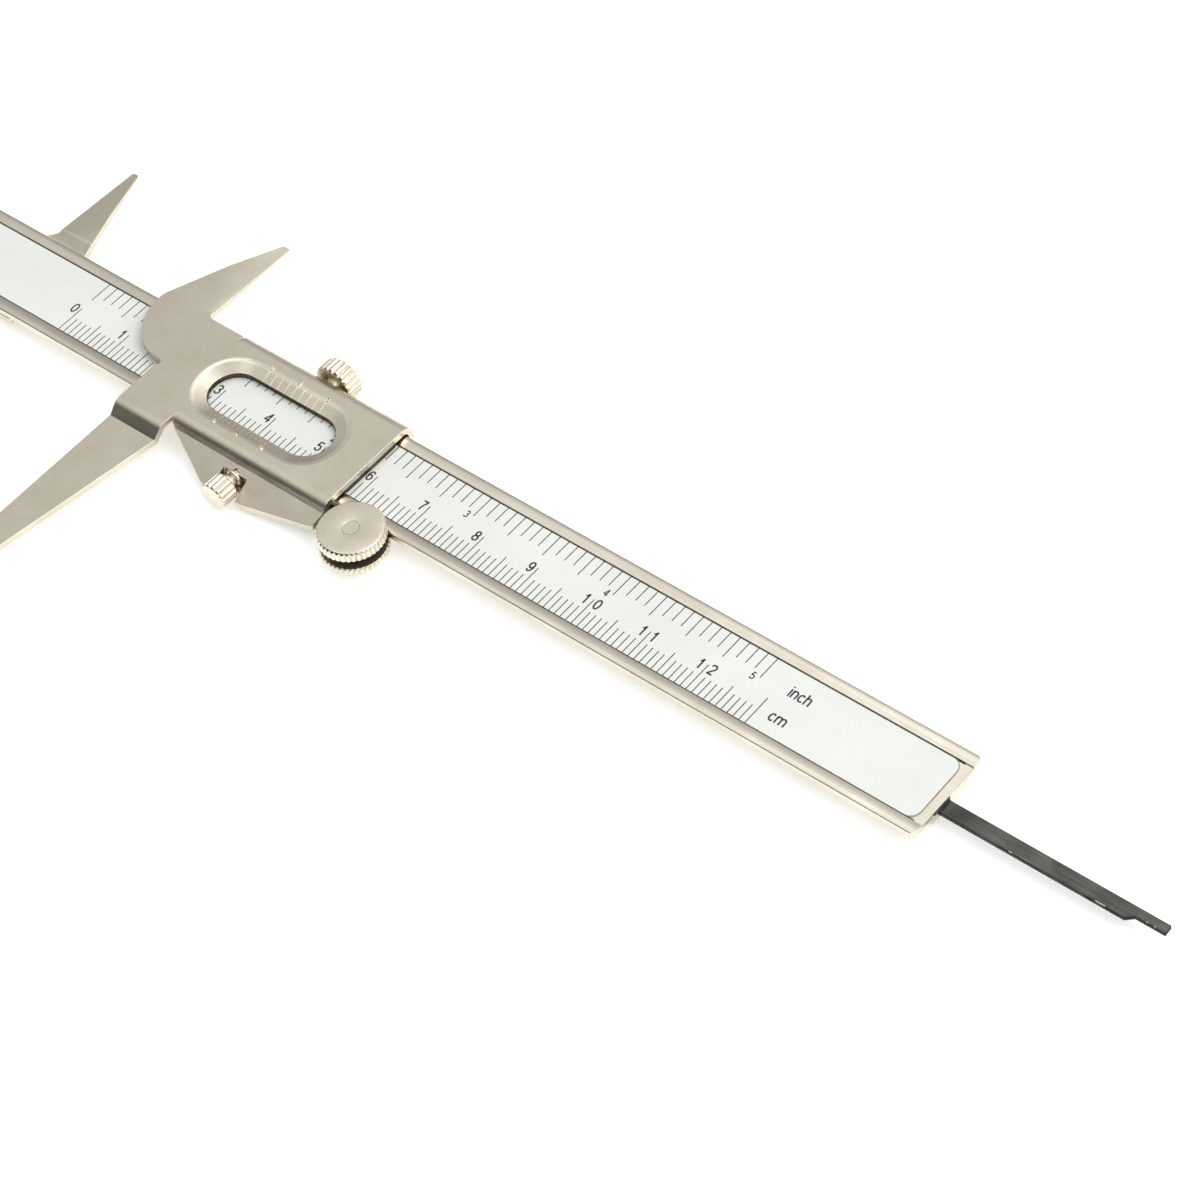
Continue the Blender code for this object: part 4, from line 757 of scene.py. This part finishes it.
# The same turned nickel as the wheel, with its rings about each screw's axis.
for place, (x, z), points in (("upper", UPPER_MIDDLE, upper_screw), ("lower", LOWER_MIDDLE, lower_screw)):
    screw_nickel = turned_finish(f"turned_{place}_screw_nickel", "EFE7D6", "D6CCB8", (0.22, 0.34),
                                 (x, 0.0, z), (pi / 2, 0, 0), 0.2 * MM, 0.003 * MM)
    show(f"{place}_screw_knurled", grid_mesh(f"{place}_screw_knurled", points, False), screw_nickel,
         f"{place}_lock_screw", (f"{place}_lock_screw",))

# Floor: a light table of white acrylic that the caliper lies on.
# It glows a little, so that shadows stay pale, and a faint mottle keeps it from being a single flat tone.
FLOOR_REACH = 1.5
FLOOR_GLOW = 0.42
floor_mesh = bpy.data.meshes.new("studio_floor")
floor_corners = [(-FLOOR_REACH, -FLOOR_REACH), (FLOOR_REACH, -FLOOR_REACH), (FLOOR_REACH, FLOOR_REACH),
                 (-FLOOR_REACH, FLOOR_REACH)]
floor_mesh.from_pydata([(x, y, cad_box[0].z) for x, y in floor_corners], [], [(0, 1, 2, 3)])
floor = bpy.data.objects.new("studio_floor", floor_mesh)
bpy.context.scene.collection.objects.link(floor)
# Cast acrylic lit from below: an even white with clouds so faint that they only take off its flatness.
lit_acrylic = lined_finish("lit_white_acrylic", "FAFAF9", "F6F6F5", (0.85, 0.95), (40 * MM, 40 * MM, 40 * MM),
                           90 * MM, 0.0, metallic=0.0)
acrylic_shader = lit_acrylic.node_tree.nodes["Principled BSDF"]
acrylic_shader.inputs["Emission Color"].default_value = linear("FFFFFF")
acrylic_shader.inputs["Emission Strength"].default_value = FLOOR_GLOW
floor_mesh.materials.append(lit_acrylic)

# Light: a wide dim room, which the metal shows as tones, and one large soft light.
# The room brightens as z ^ 4, and five of its parts are dimmed or lit. Each part gives an axis, the span of
# the direction along that axis, and the factors at the two ends of the span.
ROOM_BASE, ROOM_RISE, ROOM_POWER = 0.38, 0.82, 4.0
DARK_LOW_DOWN = ("Z", 0.0, 0.22, 0.25, 1.0)
DIM_STRAIGHT_ABOVE = ("Z", 0.91, 0.97, 1.0, 0.27)
DARK_NEAR_SIDE = ("Y", -0.68, -0.42, 0.03, 1.0)
BRIGHT_RIGHT_SIDE = ("X", -0.52, -0.28, 1.0, 2.2)
BRIGHT_FAR_LEFT = ("X", -0.88, -0.66, 1.6, 1.0)
world = bpy.data.worlds.new("studio_room")
bpy.context.scene.world = world
world.use_nodes = True
room_tree = world.node_tree
way = add_node(room_tree, "ShaderNodeTexCoord", {}).outputs["Generated"]
axes = add_node(room_tree, "ShaderNodeSeparateXYZ", {0: way})
steep = add_node(room_tree, "ShaderNodeMath", {0: axes.outputs["Z"], 1: ROOM_POWER}, operation="POWER")
room = add_node(room_tree, "ShaderNodeMath", {0: steep.outputs[0], 1: ROOM_RISE, 2: ROOM_BASE},
                operation="MULTIPLY_ADD")
for axis, low, high, first, last in (DARK_LOW_DOWN, DIM_STRAIGHT_ABOVE, DARK_NEAR_SIDE, BRIGHT_RIGHT_SIDE,
                                     BRIGHT_FAR_LEFT):
    factor = add_node(room_tree, "ShaderNodeMapRange", {"Value": axes.outputs[axis], "From Min": low,
                                                        "From Max": high, "To Min": first, "To Max": last})
    room = add_node(room_tree, "ShaderNodeMath", {0: room.outputs[0], 1: factor.outputs[0]},
                    operation="MULTIPLY")
background = room_tree.nodes["Background"]
room_tree.links.new(room.outputs[0], background.inputs["Strength"])
background.inputs["Color"].default_value = linear("FFFFFF")

SOFTBOX_PLACE = Vector((0.42, 0.10, 0.40))
SOFTBOX_AIM = Vector((80 * MM, 0, 0))
SOFTBOX_SIZE, SOFTBOX_POWER = 0.30, 0.57
softbox = bpy.data.lights.new("side_softbox", "AREA")
softbox.size = SOFTBOX_SIZE
softbox.energy = SOFTBOX_POWER
softbox_holder = bpy.data.objects.new("side_softbox", softbox)
bpy.context.scene.collection.objects.link(softbox_holder)
softbox_holder.location = SOFTBOX_PLACE
softbox_holder.rotation_euler = (SOFTBOX_PLACE - SOFTBOX_AIM).to_track_quat("Z", "Y").to_euler()

# Camera: where the photograph was taken from, worked out from the printed scale's ticks.
# Azimuth is from -Y towards +X, and the roll turns the picture about the line of sight.
CAMERA_AZIMUTH, CAMERA_ELEVATION, CAMERA_ROLL = radians(46.98), radians(49.62), radians(-9.66)
CAMERA_DISTANCE = 490.1 * MM
CAMERA_TARGET = Vector((115.8 * MM, -0.1 * MM, 2.15 * MM))
CAMERA_LENS, CAMERA_SENSOR = 107.97, 36.0
CAMERA_NEAREST = 10 * MM
back = Vector((sin(CAMERA_AZIMUTH) * cos(CAMERA_ELEVATION), -cos(CAMERA_AZIMUTH) * cos(CAMERA_ELEVATION),
               sin(CAMERA_ELEVATION)))
level_right = Vector((0, 0, 1)).cross(back).normalized()
level_up = back.cross(level_right)
right = level_right * cos(CAMERA_ROLL) + level_up * sin(CAMERA_ROLL)
up = back.cross(right)
camera_data = bpy.data.cameras.new("photo_camera")
camera_data.lens = CAMERA_LENS
camera_data.sensor_width = CAMERA_SENSOR
camera_data.clip_start = CAMERA_NEAREST
camera = bpy.data.objects.new("photo_camera", camera_data)
bpy.context.scene.collection.objects.link(camera)
camera_turn = Matrix((right, up, back)).transposed().to_4x4()
camera.matrix_world = Matrix.Translation(CAMERA_TARGET + back * CAMERA_DISTANCE) @ camera_turn
bpy.context.scene.camera = camera
bpy.context.scene.view_settings.view_transform = "Standard"
